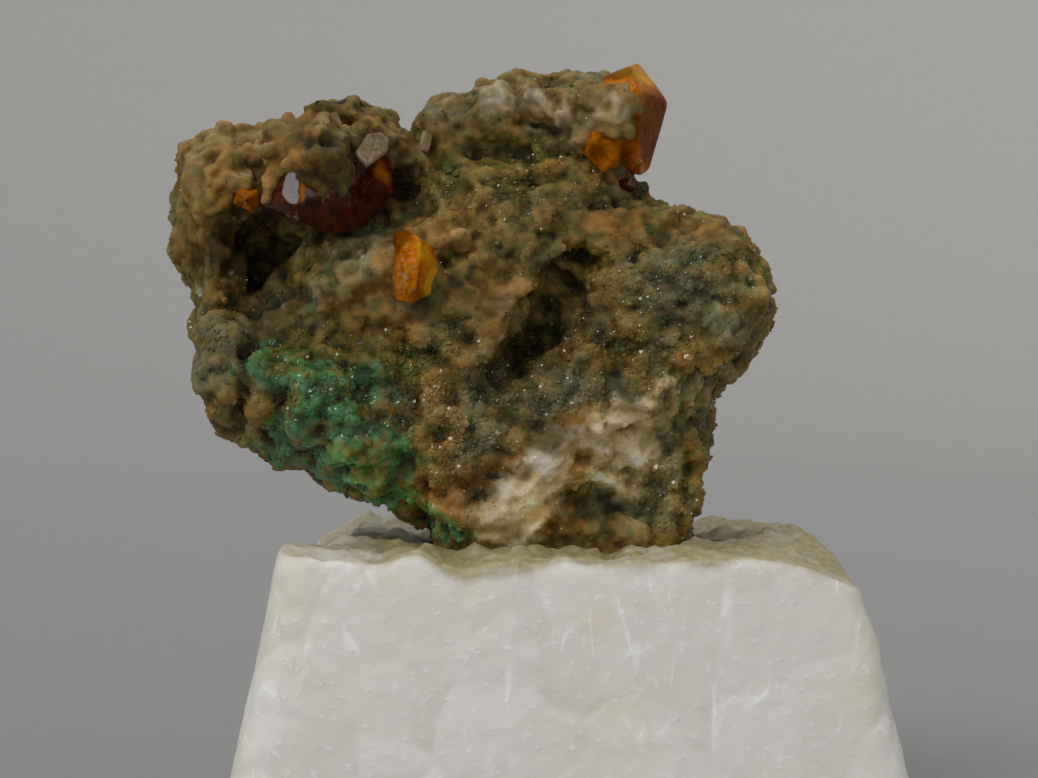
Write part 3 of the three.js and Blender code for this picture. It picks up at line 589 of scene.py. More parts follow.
def merge_near(points, faces, tolerance=1e-4):
    """Joins points that lie within a tolerance of each other, as along the edges of two sheets."""
    keys = np.round(points / tolerance).astype(np.int64)
    _, kept, index = np.unique(keys, axis=0, return_index=True, return_inverse=True)
    return points[kept], index.ravel()[faces]


def gather(values, faces, count):
    """The sum, over the faces round each point, of a row of values per face."""
    total = np.zeros((count, values.shape[1]))
    for corner in range(faces.shape[1]):
        for axis in range(values.shape[1]):
            total[:, axis] += np.bincount(faces[:, corner], values[:, axis], count)
    return total


def normals_of(points, faces, rounds=0):
    """Unit normals at the points, from the cross product of two diagonals of each face (of two sides of
    a triangle), eased over the neighbours a number of times."""
    diagonal = points[faces[:, 2]] - points[faces[:, 0]]
    other = points[faces[:, -1]] - points[faces[:, 1]]
    normals = gather(np.cross(diagonal, other), faces, len(points))
    for _ in range(rounds):
        normals /= np.linalg.norm(normals, axis=1, keepdims=True) + 1e-12
        normals = gather(normals[faces].mean(axis=1), faces, len(points))
    return normals / (np.linalg.norm(normals, axis=1, keepdims=True) + 1e-12)


def pushed(points, normals, lift, floor):
    """The points moved out along their normals by `lift` mm, none below the floor."""
    points = points + normals * lift[:, None]
    points[:, 2] = np.maximum(points[:, 2], floor)
    return points


def eased(points, faces, rounds):
    """The points moved, a number of times, to the mean of the middles of the faces round them."""
    shares = np.bincount(faces.ravel(), minlength=len(points))[:, None]
    for _ in range(rounds):
        points = gather(points[faces].mean(axis=1), faces, len(points)) / shares
    return points


def take_result(obj):
    """The points and faces of an object with its modifiers applied. The object itself goes."""
    seen = obj.evaluated_get(bpy.context.evaluated_depsgraph_get())
    result = read_mesh(seen.to_mesh())
    seen.to_mesh_clear()
    bpy.data.objects.remove(obj)
    return result


def knit(points, faces, voxel):
    """One skin over overlapping closed shells: the skin of the voxels, `voxel` mm a side, inside them."""
    obj = new_object("shells", points, faces)
    remesh = obj.modifiers.new("knit", "REMESH")
    remesh.mode = "VOXEL"
    remesh.voxel_size = voxel * MM
    return take_result(obj)


def thin_out(points, faces, weights, target):
    """Triangles, fewer of them where the weights are high, until about `target` are left."""
    obj = new_object("dense", points, faces)
    group = obj.vertex_groups.new(name="thin")
    levels = np.round(weights * 4) / 4  # quarters are fine enough
    for level in np.unique(levels):
        group.add(np.flatnonzero(levels == level).tolist(), float(level), "REPLACE")
    decimate = obj.modifiers.new("thin", "DECIMATE")
    decimate.ratio = target / (2 * len(faces))
    decimate.vertex_group = "thin"
    decimate.vertex_group_factor = 1e-5  # low, because faces this small have a tiny cost of their own
    decimate.use_collapse_triangulate = True
    return take_result(obj)


# ---- Materials ----

SHARE, UNDER, OVER, MIXED = 0, 6, 7, 2  # the sockets of a Mix node for colours


def to_linear(code):
    """An sRGB hex colour as linear red, green and blue."""
    shares = [((code >> shift) & 255) / 255 for shift in (16, 8, 0)]
    return tuple(c / 12.92 if c <= 0.04045 else ((c + 0.055) / 1.055) ** 2.4 for c in shares)


def rgba(shade):
    """An sRGB hex colour, or a linear one, as a colour socket's value."""
    return (*(to_linear(shade) if isinstance(shade, int) else shade), 1.0)


def per_mm(size):
    """A pattern's scale from the distance in mm between its marks."""
    return 1 / (size * MM)


def add_node(tree, kind, inputs, output=0, **settings):
    """Adds a shader node with its settings, sets or links its inputs, and gives back one output."""
    node = tree.nodes.new("ShaderNode" + kind)
    for name, value in settings.items():
        setattr(node, name, value)
    for name, value in inputs.items():
        socket = node.inputs[name]
        if isinstance(value, bpy.types.NodeSocket):
            tree.links.new(value, socket)
        else:
            socket.default_value = value
    return node.outputs[output] if node.outputs else None


def start_material(name):
    """A new material without nodes, and what adds them to it."""
    material = bpy.data.materials.new(name)
    material.use_nodes = True
    material.node_tree.nodes.clear()
    return material, partial(add_node, material.node_tree)


def expanded_polystyrene():
    """Moulded bead foam: matte, slightly translucent, every bead a shade of its own, with thin raised
    folds where the skin was pressed, painted white as highlights, soiled on top."""
    material, add = start_material("expanded_polystyrene")
    place = add("TexCoord", {}, "Object")
    soil, bead, tint = (
        add("Attribute", {}, "Fac", attribute_name=name) for name in ("soil", "bead", "tint")
    )
    fine = add("TexNoise", {"Vector": place, "Scale": per_mm(0.35), "Detail": 5.0})
    # The folds lie where a noise drawn out upwards crosses its middle value, and another breaks them up.
    # Their white is a painted highlight, with small pale flecks added.
    tall = add("VectorMath", {0: place, 1: (1.0, 1.0, 0.13)}, operation="MULTIPLY")
    wavy = add("TexNoise", {"Vector": tall, "Scale": per_mm(1.6), "Detail": 1.0})
    beside = add("Math", {0: wavy, 1: 0.5}, operation="SUBTRACT")
    apart = add("Math", {0: beside}, operation="ABSOLUTE")
    line = add("MapRange", {"Value": apart, "From Max": 0.035, "To Min": 1.0, "To Max": 0.0})
    broken = add("TexNoise", {"Vector": place, "Scale": per_mm(1.6), "Detail": 2.0})
    kept = add("MapRange", {"Value": broken, "From Min": 0.51, "From Max": 0.66, "To Max": 0.7})
    flecks = add("MapRange", {"Value": fine, "From Min": 0.58, "From Max": 0.75, "To Max": 0.5})
    fold = add("Math", {0: line, 1: kept, 2: flecks}, operation="MULTIPLY_ADD")
    patchy = add("MapRange", {"Value": fine, "From Min": 0.3, "From Max": 0.6, "To Min": 0.75})
    dirty = add("Math", {0: soil, 1: patchy}, operation="MULTIPLY")
    shade, dust = rgba(0xE4E1DB), bpy.context.scene.specimen_block.soil_colour
    # The white laid over the folds is a painted highlight.
    for share, laid in ((bead, 0xECEAE5), (tint, 0xE8DDC0), (fold, 0xFFFFFF), (dirty, dust)):
        shade = add("Mix", {SHARE: share, UNDER: shade, OVER: rgba(laid)}, MIXED, data_type="RGBA")
    raised = add("Bump", {"Height": fold, "Strength": 0.6, "Distance": 0.06 * MM})
    bump = add("Bump", {"Height": fine, "Strength": 0.45, "Distance": 0.05 * MM, "Normal": raised})
    surface = add("BsdfPrincipled", {
        "Base Color": shade, "Normal": bump, "Roughness": 0.5, "IOR": 1.45, "Subsurface Weight": 0.3,
        "Subsurface Radius": (0.9, 0.8, 0.7), "Subsurface Scale": 1.0 * MM,
    })
    add("OutputMaterial", {"Surface": surface})
    return material


def drusy_rock():
    """Weathered gossan under a sugary skin: dull, every grain a shade of its own, glossy only on the
    malachite."""
    material, add = start_material("drusy_rock")
    place = add("TexCoord", {}, "Object")
    skin = add("Attribute", {}, "Color", attribute_name="skin")
    gloss = add("Attribute", {}, "Fac", attribute_name="gloss")
    sand = add("TexNoise", {"Vector": place, "Scale": per_mm(0.16), "Detail": 4.0, "Roughness": 0.65})
    light = {"Value": sand, "From Min": 0.3, "From Max": 0.7, "To Min": 0.88, "To Max": 1.12}
    sandy = add("VectorMath", {0: skin, "Scale": add("MapRange", light)}, operation="SCALE")
    crumbs = {"Vector": place, "Scale": per_mm(0.24), "Smoothness": 0.6}
    speckles = add("TexVoronoi", crumbs, "Color", feature="SMOOTH_F1")
    speckled = {SHARE: 0.12, UNDER: sandy, OVER: speckles}
    surface = add("BsdfPrincipled", {
        "Base Color": add("Mix", speckled, MIXED, data_type="RGBA", blend_type="SOFT_LIGHT"),
        "Normal": add("Bump", {"Height": sand, "Strength": 0.35, "Distance": 0.05 * MM}),
        "Roughness": 0.75, "Specular IOR Level": 0.2, "IOR": 1.54,
        "Coat Weight": gloss, "Coat Roughness": 0.12, "Coat IOR": 1.6,
    })
    add("OutputMaterial", {"Surface": surface})
    return material


def druse_quartz():
    """Tiny quartz points: glassy faces over the colour of what they grow on, each a shade of its own."""
    material, add = start_material("druse_quartz")
    skin = add("Attribute", {}, "Color", attribute_name="skin")
    glassy = {"Base Color": skin, "Roughness": 0.07, "IOR": 1.55, "Specular IOR Level": 0.35}
    add("OutputMaterial", {"Surface": add("BsdfPrincipled", glassy)})
    return material


def wulfenite(name, *, body, dark, glow, mirror, etching, absorbed, density, clear, index):
    """Resinous wulfenite: clear orange with darker clouds inside, painted light along its lit edges and
    painted shade on faces in shadow, frosted and etched in places. Its true index would mirror the whole
    room, so the index is held down."""
    material, add = start_material(name)
    place = add("TexCoord", {}, "Object")
    frost, lit, dim = (
        add("Attribute", {}, "Fac", attribute_name=read) for read in ("frost", "glow", "dim")
    )
    clouding = {"Vector": place, "Scale": per_mm(0.6), "Detail": 4.0, "Roughness": 0.65, "Distortion": 1.2}
    cloudy = add("MapRange", {"Value": add("TexNoise", clouding), "From Min": 0.38, "From Max": 0.62})
    pits = add("TexNoise", {"Vector": place, "Scale": per_mm(0.22), "Detail": 3.0})
    spots = add("MapRange", {"Value": pits, "From Min": 0.48, "From Max": 0.75})
    etched = add("Math", {0: frost, 1: spots}, operation="MULTIPLY")
    shade, frosting = rgba(dark), bpy.context.scene.specimen_crystals.frosting
    # The glow colour is painted light; the dim brown is painted shade, which also lets less light through.
    for share, laid in ((cloudy, body), (lit, glow), (dim, 0x4A2404), (etched, frosting)):
        shade = add("Mix", {SHARE: share, UNDER: shade, OVER: rgba(laid)}, MIXED, data_type="RGBA")
    see_through = add("MapRange", {"Value": frost, "To Min": clear, "To Max": 0.2})
    held = add("MapRange", {"Value": dim, "To Min": 1.0, "To Max": 0.2})
    surface = add("BsdfPrincipled", {
        "Base Color": shade, "IOR": index, "Specular IOR Level": 0.03, "Specular Tint": rgba(mirror),
        "Roughness": add("MapRange", {"Value": frost, "To Min": 0.1 + 0.3 * etching, "To Max": 0.6}),
        "Transmission Weight": add("Math", {0: see_through, 1: held}, operation="MULTIPLY"),
        "Normal": add("Bump", {"Height": pits, "Strength": etching, "Distance": 0.04 * MM}),
    })
    inside = add("VolumeAbsorption", {"Color": rgba(absorbed), "Density": density})
    add("OutputMaterial", {"Surface": surface, "Volume": inside})
    return material


def studio_paper():
    """Matte grey background paper, with painted shade near the specimen and to the left."""
    material, add = start_material("studio_paper")
    place = add("TexCoord", {}, "Object")
    away = add("VectorMath", {0: place}, "Value", operation="LENGTH")
    across = add("SeparateXYZ", {0: place}, "X")
    # Painted shade: the grey darkens towards the specimen and to the left, and is lighter far out and to the
    # right.
    far = add("Math", {0: across, 1: 0.67, 2: away}, operation="MULTIPLY_ADD")
    share = add("MapRange", {"Value": far, "From Min": 0.03, "From Max": 0.66})
    shaded_greys = {SHARE: share, UNDER: rgba(0x959595), OVER: rgba(0xCAC9C6)}
    tint = add("Mix", shaded_greys, MIXED, data_type="RGBA")
    # Real fibres are finer; drawn 2.5 mm long they still show.
    fibre = add("TexNoise", {"Vector": place, "Scale": per_mm(2.5), "Detail": 3.0})
    grain = add("MapRange", {"Value": fibre, "To Min": 0.96, "To Max": 1.04})
    grained = add("VectorMath", {0: tint, "Scale": grain}, operation="SCALE")
    surface = add("BsdfPrincipled", {"Base Color": grained, "Roughness": 0.9})
    add("OutputMaterial", {"Surface": surface})
    return material


# ---- The foam block ----


def box_grid(across, up):
    """The six sides of a cube from -1 to 1 (0 to 1 in height) as grids that meet along the edges."""
    s = np.linspace(-1, 1, across)
    t = np.linspace(0, 1, up)
    shells = []
    for axis in range(2):
        for side in (-1, 1):
            u, v = np.meshgrid(s * side * (1 if axis else -1), t)
            flat = np.full_like(u, side)
            points = np.stack([flat, u, v] if axis == 0 else [u, flat, v], axis=-1).reshape(-1, 3)
            shells.append((points, grid_faces(up, across)[:, ::-1]))
    for height in (0, 1):
        u, v = np.meshgrid(s if height else -s, s)
        points = np.stack([u, v, np.full_like(u, height)], axis=-1).reshape(-1, 3)
        shells.append((points, grid_faces(across, across)))
    return merge_near(*join_shells(shells))


def build_block():
    """A square frustum with rounded uprights. The top follows the front rim's heights, has a rounded,
    crumbled edge and is pressed in round the rock's foot."""
    unit, faces = box_grid(*BLOCK_GRID)
    x, y, up = unit.T
    out = np.maximum(abs(x), abs(y))
    round_out = (abs(x) ** CORNER_POWER + abs(y) ** CORNER_POWER) ** (1 / CORNER_POWER)
    rounding = out / (round_out + 1e-9)
    half = BASE_HALF + (TOP_HALF - BASE_HALF) * up
    bow = FRONT_BOW * smooth(-0.6, -1.0, y) * (0.5 - x * x) * out
    points = np.stack(
        [BLOCK_MIDDLE + half * rounding * x, half * rounding * y - bow, BLOCK_HEIGHT * (up - 1)], 1
    )
    top = (up > 0.999).astype(float)
    rim = np.interp(points[:, 0], *RIM.T)
    back = np.interp(points[:, 0], *BACK_RIM.T) + 0.1 * rough(points, 3.1, 12, 2)
    forward = smooth(-0.2, -0.9, y)
    points[:, 2] += smooth(0.75, 1.0, up) * (rim * forward + back * (1 - forward))
    left = smooth(-3.2, -5.0, points[:, 0]) * smooth(-1.0, -0.86, y) * smooth(-0.5, -0.7, y)
    points[:, 2] += 0.15 * top * left
    crumbs = CRUMB_HEIGHT * rough(points, CRUMB_SIZE, 15, 3)
    foot = np.hypot(*((points[:, :2] - HOLLOW_MIDDLE) / HOLLOW_HALF).T)
    hollow = 1 - smooth(0.92, 1.12, foot + 0.08 * clouds(points, 1.2, 5))
    dip = TOP_DIP * smooth(1.0, 0.7, out)
    points[:, 2] += top * (crumbs - HOLLOW_DEPTH * hollow - dip + TOP_WAVE * rough(points, 2.6, 11, 3))
    worn = (smooth(0.94, 0.99, up) * smooth(0.9, 0.97, out))[:, None]
    return points + worn * (eased(points, faces, 6) - points), faces, top


def dress_block():
    """The bead pattern: every bead bulges a little between shallow seams, and small pits stand where
    beads meet. The top is soiled, most of all along the rim."""
    size = bpy.context.scene.specimen_block.bead_size / MM
    points, faces, top = build_block()
    normals = normals_of(points, faces, 2)
    first, second, bead = grains(stirred(points, *BEAD_STIR), size, 21)
    seam = 1 - smooth(0.0, 0.3, (second - first) * size)
    pit = seam * smooth(0.68, 0.82, first)
    lift = BEAD_BULGE * (1 - (first / 0.8) ** 2) - SEAM_DEPTH * seam - PIT_DEPTH * pit
    lift = lift + SKIN_WAVE * rough(points, 0.6, 41, 3)
    bottom = points[:, 2] < -BLOCK_HEIGHT + FLAT_FOOT
    points = pushed(points, normals, np.where(bottom, 0, lift), -BLOCK_HEIGHT)
    stain = rough(points, 1.8, 51, 4)
    height = points[:, 2] - np.interp(points[:, 0], *RIM.T)
    edge = smooth(-0.55, -0.05, height + 0.3 * stain) * (1 - top)
    soil = (top * (1.0 + 0.3 * stain) + 0.8 * edge) * (0.65 + 0.35 * smooth(-7.5, -4.0, points[:, 0]))
    tint = 0.35 * smooth(0.0, 0.9, rough(points, 3.0, 61, 3))
    tint = tint + (1 + stain) * soft_ellipses(points[:, 0], points[:, 2], STAINS)
    obj = new_object("bead_foam_block", points, faces)
    values = {"soil": np.clip(soil, 0, 1), "bead": bead, "tint": np.clip(tint, 0, 1)}
    write_attributes(obj.data, values)
    finish_piece(obj, expanded_polystyrene(), "foam_block")


# ---- The rock ----


def outline_reach(angle):
    """Distance from the rock's middle to its outline along an angle: the outline's points as angle and
    distance, eased with 3t^2 - 2t^3 between neighbours."""
    across, up = (OUTLINE - ROCK_MIDDLE).T
    at = np.arctan2(up, across) % (2 * math.pi)
    order = np.argsort(at)
    at, reach = at[order], np.hypot(across, up)[order]
    at = np.concatenate([[at[-1] - 2 * math.pi], at, [at[0] + 2 * math.pi]])
    reach = np.concatenate([[reach[-1]], reach, [reach[0]]])
    angle = angle % (2 * math.pi)
    after = np.searchsorted(at, angle, side="right")
    share = smooth(0, 1, (angle - at[after - 1]) / (at[after] - at[after - 1]))
    return reach[after - 1] + share * (reach[after] - reach[after - 1])


def disc_grid(count, side=1):
    """A square grid laid on a disc: the larger of |a| and |b| is the share of the radius, and the
    smaller over it gives the angle."""
    line = np.linspace(-1, 1, count)
    a, b = (grid.ravel() for grid in np.meshgrid(side * line, line))
    wide = abs(a) > abs(b)
    major = np.where(wide, a, b)
    minor = np.where(wide, b, a)
    slant = math.pi / 4 * np.divide(minor, major, out=np.zeros_like(major), where=major != 0)
    angle = np.where(wide, slant, math.pi / 2 - slant) + math.pi * (major < 0)
    return abs(major), angle, grid_faces(count, count)


def rock_sheet(side):
    """One face of the rock, on a disc's share t of the radius and angle: the point lies sin(90 t) of the
    way out, and its depth falls as cos(90 t) to a power, plus the relief."""
    share, angle, faces = disc_grid(SHEET_GRID, -side)
    out = np.sin(math.pi / 2 * share)
    reach = out * outline_reach(angle)
    x = ROCK_MIDDLE[0] + reach * np.cos(angle)
    z = ROCK_MIDDLE[1] + reach * np.sin(angle)
    depth = ROCK_FRONT if side < 0 else ROCK_BACK
    body = depth * np.maximum(np.cos(math.pi / 2 * share), 0) ** ROCK_EDGE_POWER
    body[share > 0.999999] = 0
    carved = soft_ellipses(x, z, FRONT_RELIEF if side < 0 else BACK_RELIEF)
    y = side * (body + (1 - out**8) * carved)
    return np.stack([x, y, z], axis=1), faces


def ball(at, size, turn, count=40):
    """A rough ellipsoid: the sphere's angles on a grid, scaled, its radius swollen by noise."""
    around, down = np.meshgrid(np.linspace(0, 2 * math.pi, 2 * count), np.linspace(0, math.pi, count))
    around, down = around.ravel(), down.ravel()
    unit = np.stack([np.sin(down) * np.cos(around), np.sin(down) * np.sin(around), np.cos(down)], 1)
    points = unit * size * (1 + BALL_SWELL * clouds(unit + at, 0.5, 61))[:, None]
    x, z = turned(points[:, 0], points[:, 2], turn)
    return np.stack([x, points[:, 1], z], 1) + at, grid_faces(count, 2 * count)[:, ::-1]


def zone_shares(points):
    """How much of each growth there is at each point: its soft ellipses on the front, their edges
    frayed by noise, and a few stray patches behind."""
    x, _, z = points.T
    front = ahead_of(points)
    fray = rough(points, *FRAY)
    shares = {}
    for number, (name, entries) in enumerate(ZONES.items()):
        drawn = soft_ellipses(x + FRAY_X * fray, z + FRAY_Z * fray, entries)
        stray = smooth(0.4, 1.0, rough(points, 1.9, 80 + 10 * number, 4, 0.7)) * (1 - front)
        stray *= 0.2 if name in ("cream", "chalk") else 0.75
        islands = rough(points, 0.7, 170 + 10 * number, 3, 0.7)
        edge = drawn * front + 0.12 * fray + 0.3 * islands
        shares[name] = np.maximum(smooth(0.3, 0.8, edge), stray)
    shares["malachite"] *= 0.92 - 0.7 * smooth(-0.1, 0.8, rough(points, 0.6, 601, 4, 0.7))
    return shares


def build_rock():
    """The rock's skin: two sheets and the rounded masses knitted together, pushed out and in by the
    smaller lumps and pits, then by packed knobs of several sizes, knitted again and grained."""
    look = bpy.context.scene.specimen_rock
    shells = [merge_near(*join_shells([rock_sheet(-1), rock_sheet(1)]))]
    for at, size, turn in LUMPS:
        shells.append(merge_near(*ball(np.array(at), np.array(size), turn)))
    points, faces = knit(*join_shells(shells), SHELL_VOXEL)

    shares = zone_shares(points)
    normals = normals_of(points, faces, 3)
    facing = smooth(0.05, 0.5, -normals[:, 1]) * (1 - smooth(-1.0, 2.0, points[:, 1]))
    x, _, z = points.T
    calm = 1 - np.maximum(0.85 * shares["chalk"], np.maximum(0.35 * shares["cream"], 0.6 * shares["crust"]))
    where = stirred(points, *STIR)
    lift = facing * soft_ellipses(x, z, FRONT_DETAIL) - SUNK
    lift += BOSS_HEIGHT * calm * domes(where, BOSS, 101, reach=0.8)[0]
    lift += KNOB_HEIGHT * calm * domes(where, KNOB, KNOB_SEED, 0.2)[0]
    lift += SKIN_SWELL * rough(points, 1.2, 103, 3, 0.65)
    points = pushed(points, normals, lift, ROCK_FOOT)

    points, faces = knit(points, faces, look.skin / MM)
    shares = zone_shares(points)
    normals = normals_of(points, faces, 1)
    sugar = (1 + 0.25 * shares["crust"]) * (1 - 0.8 * shares["chalk"])
    grained = domes(stirred(points, *SUGAR_STIR), SUGAR, 111, 0.15)[0]
    knobbed = domes(stirred(points, *MALACHITE_STIR), MALACHITE_KNOB, 113, 0.1)[0]
    lift = SUGAR_HEIGHT * sugar * grained - FINE_SUNK
    lift += FINE_SWELL * rough(points, 0.5, 112, 2)
    lift += MALACHITE_HEIGHT * shares["malachite"] * (knobbed - 0.25)
    points = pushed(points, normals, lift, ROCK_FOOT)
    return thin_out(points, faces, smooth(-1.0, 2.5, points[:, 1]), look.most_faces)


def skin_look(points, faces):
    """The rock's linear colour and gloss at each point. Each growth has a colour for its gaps and one
    for its crests, laid over the ground's; the darker gaps are painted shade. How far the point stands
    out, the tone of its lump and of its grain mix the two, and clouds turn the hue from rusty to blue-grey
    with a few green grains. Hollows get more painted shade, and given places of the front get painted light
    and shade as well as tone."""
    look = bpy.context.scene.specimen_rock
    shares = zone_shares(points)
    normals = normals_of(points, faces, 1)
    near = ((eased(points, faces, 5) - points) * normals).sum(axis=1)
    wide = ((eased(points, faces, 30) - points) * normals).sum(axis=1)
    tone = grains(stirred(points, *STIR), KNOB, KNOB_SEED)[2]
    fleck = grains(stirred(points, *FLECK_STIR), FLECK, 322)[2]
    # Painted shade, along with the rock's own tone: points that sink in take the darker gap colour, points
    # that stand out the paler crest colour.
    crest = np.clip(0.5 - CREST_GAIN * near - CREST_GAIN * wide, 0, 1)
    share = CREST * crest + LUMP_TONE * tone + FLECK_TONE * fleck + CLOUD_TONE * rough(points, 0.7, 331, 2)
    share += 0.3 * shares["crust"] * clouds(points, 1.5, 351)
    share = smooth(0.08, 0.9, np.clip(share, 0, 1))
    gaps, crests = np.array(to_linear(GROUND_GAP)), np.array(look.ground)
    for name, gap in GAPS.items():
        gaps = blend(gaps, to_linear(gap), shares[name])
        crests = blend(crests, getattr(look, name), shares[name])
    colour = blend(gaps, crests, share)
    turn = HUE_CLOUDS * rough(points, 1.1, 341, 3, 0.6) + HUE_FLECKS * (drawn_again(fleck, 37.0) - 0.5)
    turn *= 1 - 0.6 * np.maximum(shares["malachite"], shares["chalk"])
    turn = np.clip(turn + 0.1, -0.7, 1)
    paler = 1.05 + 0.4 * share
    colour = colour * np.stack([1.1 + 0.27 * turn, 1.12 + 0.02 * turn, paler - 0.42 * turn], 1)
    bare = 1 - np.maximum(np.maximum(shares["crust"], shares["chalk"]), shares["cream"])
    green = bare * smooth(0.86, 0.92, drawn_again(fleck, 91.0)) * GREEN_SHARE
    colour = blend(colour, to_linear(GREEN_GRAIN), green)
    # Painted shade: the hollows are darkened further towards a near-black brown, less on the crust.
    hollow = (0.75 - 0.4 * shares["crust"]) * smooth(0.06, 0.3, wide + near)
    colour = blend(colour, to_linear(HOLLOW_SHADE), hollow)
    # Painted light and shade at given places of the front, along with the rock's own tone: the colour times e
    # to the strength.
    colour *= np.exp(ahead_of(points) * soft_ellipses(points[:, 0], points[:, 2], TONES_AND_PAINTED_LIGHT))[:, None]
    return {"skin": np.clip(colour, 0.003, 1), "gloss": 0.8 * shares["malachite"]}, shares


def dress_rock():
    """Builds the rock's piece and writes its colours and gloss on it for its material."""
    points, faces = build_rock()
    obj = new_object("drusy_rock", points, faces)
    values, _ = skin_look(points, faces)
    write_attributes(obj.data, values)
    finish_piece(obj, drusy_rock(), "matrix_rock")


# ---- The druse ----


def quartz_point():
    """Two five-sided pyramids foot to foot, one unit wide, the lower one sunk in the rock."""
    turn = np.arange(5) * 2 * math.pi / 5
    ring = np.stack([0.5 * np.cos(turn), 0.5 * np.sin(turn), np.full(5, GIRDLE)], 1)
    points = np.concatenate([ring, [[0, 0, TIP], [0, 0, ROOT]]])
    here, after = np.arange(5), (np.arange(5) + 1) % 5
    sides = np.concatenate([
        np.stack([here, after, np.full(5, 5)], 1), np.stack([after, here, np.full(5, 6)], 1),
    ])
    return points, sides


def strew(points, faces, count, size, weights, seed):
    """Places copies of the quartz point on random spots of the faces, more where the weights are
    higher, each leaning at random from the face's normal. Returns their points and faces, and for each
    point the number of the face that it stands on."""
    rng = np.random.default_rng(seed)
    corners = points[faces]
    cross = np.cross(corners[:, 1] - corners[:, 0], corners[:, 2] - corners[:, 0])
    area = np.linalg.norm(cross, axis=1)
    chance = area * weights[faces].mean(axis=1)
    chosen = rng.choice(len(faces), count, p=chance / chance.sum())
    u, v = rng.uniform(0, 1, (2, count, 1))
    fold = u + v > 1
    u, v = np.where(fold, 1 - u, u), np.where(fold, 1 - v, v)
    at = corners[chosen, 0] * (1 - u - v) + corners[chosen, 1] * u + corners[chosen, 2] * v
    axis = cross[chosen] / area[chosen, None] + rng.normal(0, LEAN, (count, 3))
    axis /= np.linalg.norm(axis, axis=1, keepdims=True)
    side = np.cross(axis, rng.normal(0, 1, (count, 3)))
    side /= np.linalg.norm(side, axis=1, keepdims=True)
    other = np.cross(axis, side)
    shape, sides = quartz_point()
    width = size * np.exp(rng.normal(0, WIDTH_SPREAD, count))
    tall = width * rng.uniform(FLATTEST, TALLEST, count)
    placed = at[:, None]
    for number, (way, reach) in enumerate(((side, width), (other, width), (axis, tall))):
        placed = placed + way[:, None] * shape[None, :, number, None] * reach[:, None, None]
    numbers = sides[None] + len(shape) * np.arange(count)[:, None, None]
    return placed.reshape(-1, 3), numbers.reshape(-1, 3), np.repeat(chosen, len(shape))


def dress_druse():
    """The sugary quartz that covers the rock, in three sizes, thick on the grey and brown ground and
    thin on the crust and the vein."""
    look = bpy.context.scene.specimen_druse
    skin, skin_faces = read_mesh(bpy.data.objects["drusy_rock"].data)
    values, shares = skin_look(skin, skin_faces)
    bunched = 0.25 + smooth(-0.4, 0.5, rough(skin, 1.5, 501, 3, 0.6))
    glitter = soft_ellipses(skin[:, 0], skin[:, 2], GLITTER)
    ahead = np.where(skin[:, 1] < 1.5, DRUSE_AHEAD + DRUSE_GLITTER * glitter, DRUSE_BEHIND)
    level = 1 - 0.7 * smooth(0.2, 0.9, normals_of(skin, skin_faces, 1)[:, 2])
    covered = np.maximum(shares["crust"], 0.7 * shares["chalk"])
    material = druse_quartz()
    for number, (name, scale, share, on_crust) in enumerate(DRUSES):
        weights = bunched * ahead * level * (1 - (1 - on_crust) * covered) * (1 - 0.9 * shares["cream"])
        count = int(look.count * share)
        points, faces, on = strew(skin, skin_faces, count, scale * look.size / MM, weights, 7 + number)
        points[:, 2] = np.maximum(points[:, 2], ROCK_FOOT)
        rng = np.random.default_rng(31 + number)
        shade = np.exp(rng.normal(0, SHADE_SPREAD, (count, 1)) + rng.normal(0, HUE_SPREAD, (count, 3)))
        corners = len(points) // count
        colour = values["skin"][skin_faces[on]].mean(axis=1) * np.repeat(shade, corners, axis=0)
        obj = new_object(name, points, faces, smooth_shading=False)
        write_attributes(obj.data, {"skin": np.clip(colour, 0, 1)})
        finish_piece(obj, material)


# ---- The crystals ----


def facets(corners):
    """The middle of a set of corners, and the outward normals and distances of their hull's planes."""
    middle = corners.mean(axis=0)
    bm = bmesh.new()
    for corner in corners - middle:
        bm.verts.new(corner)
    bmesh.ops.convex_hull(bm, input=bm.verts)
    bm.normal_update()
    planes = [(*face.normal, face.normal.dot(face.verts[0].co)) for face in bm.faces]
    bm.free()
    planes = np.array(planes)
    planes = planes[planes[:, 3] > 0.01]  # one through the middle would cut the crystal away
    return middle, planes[:, :3], planes[:, 3]


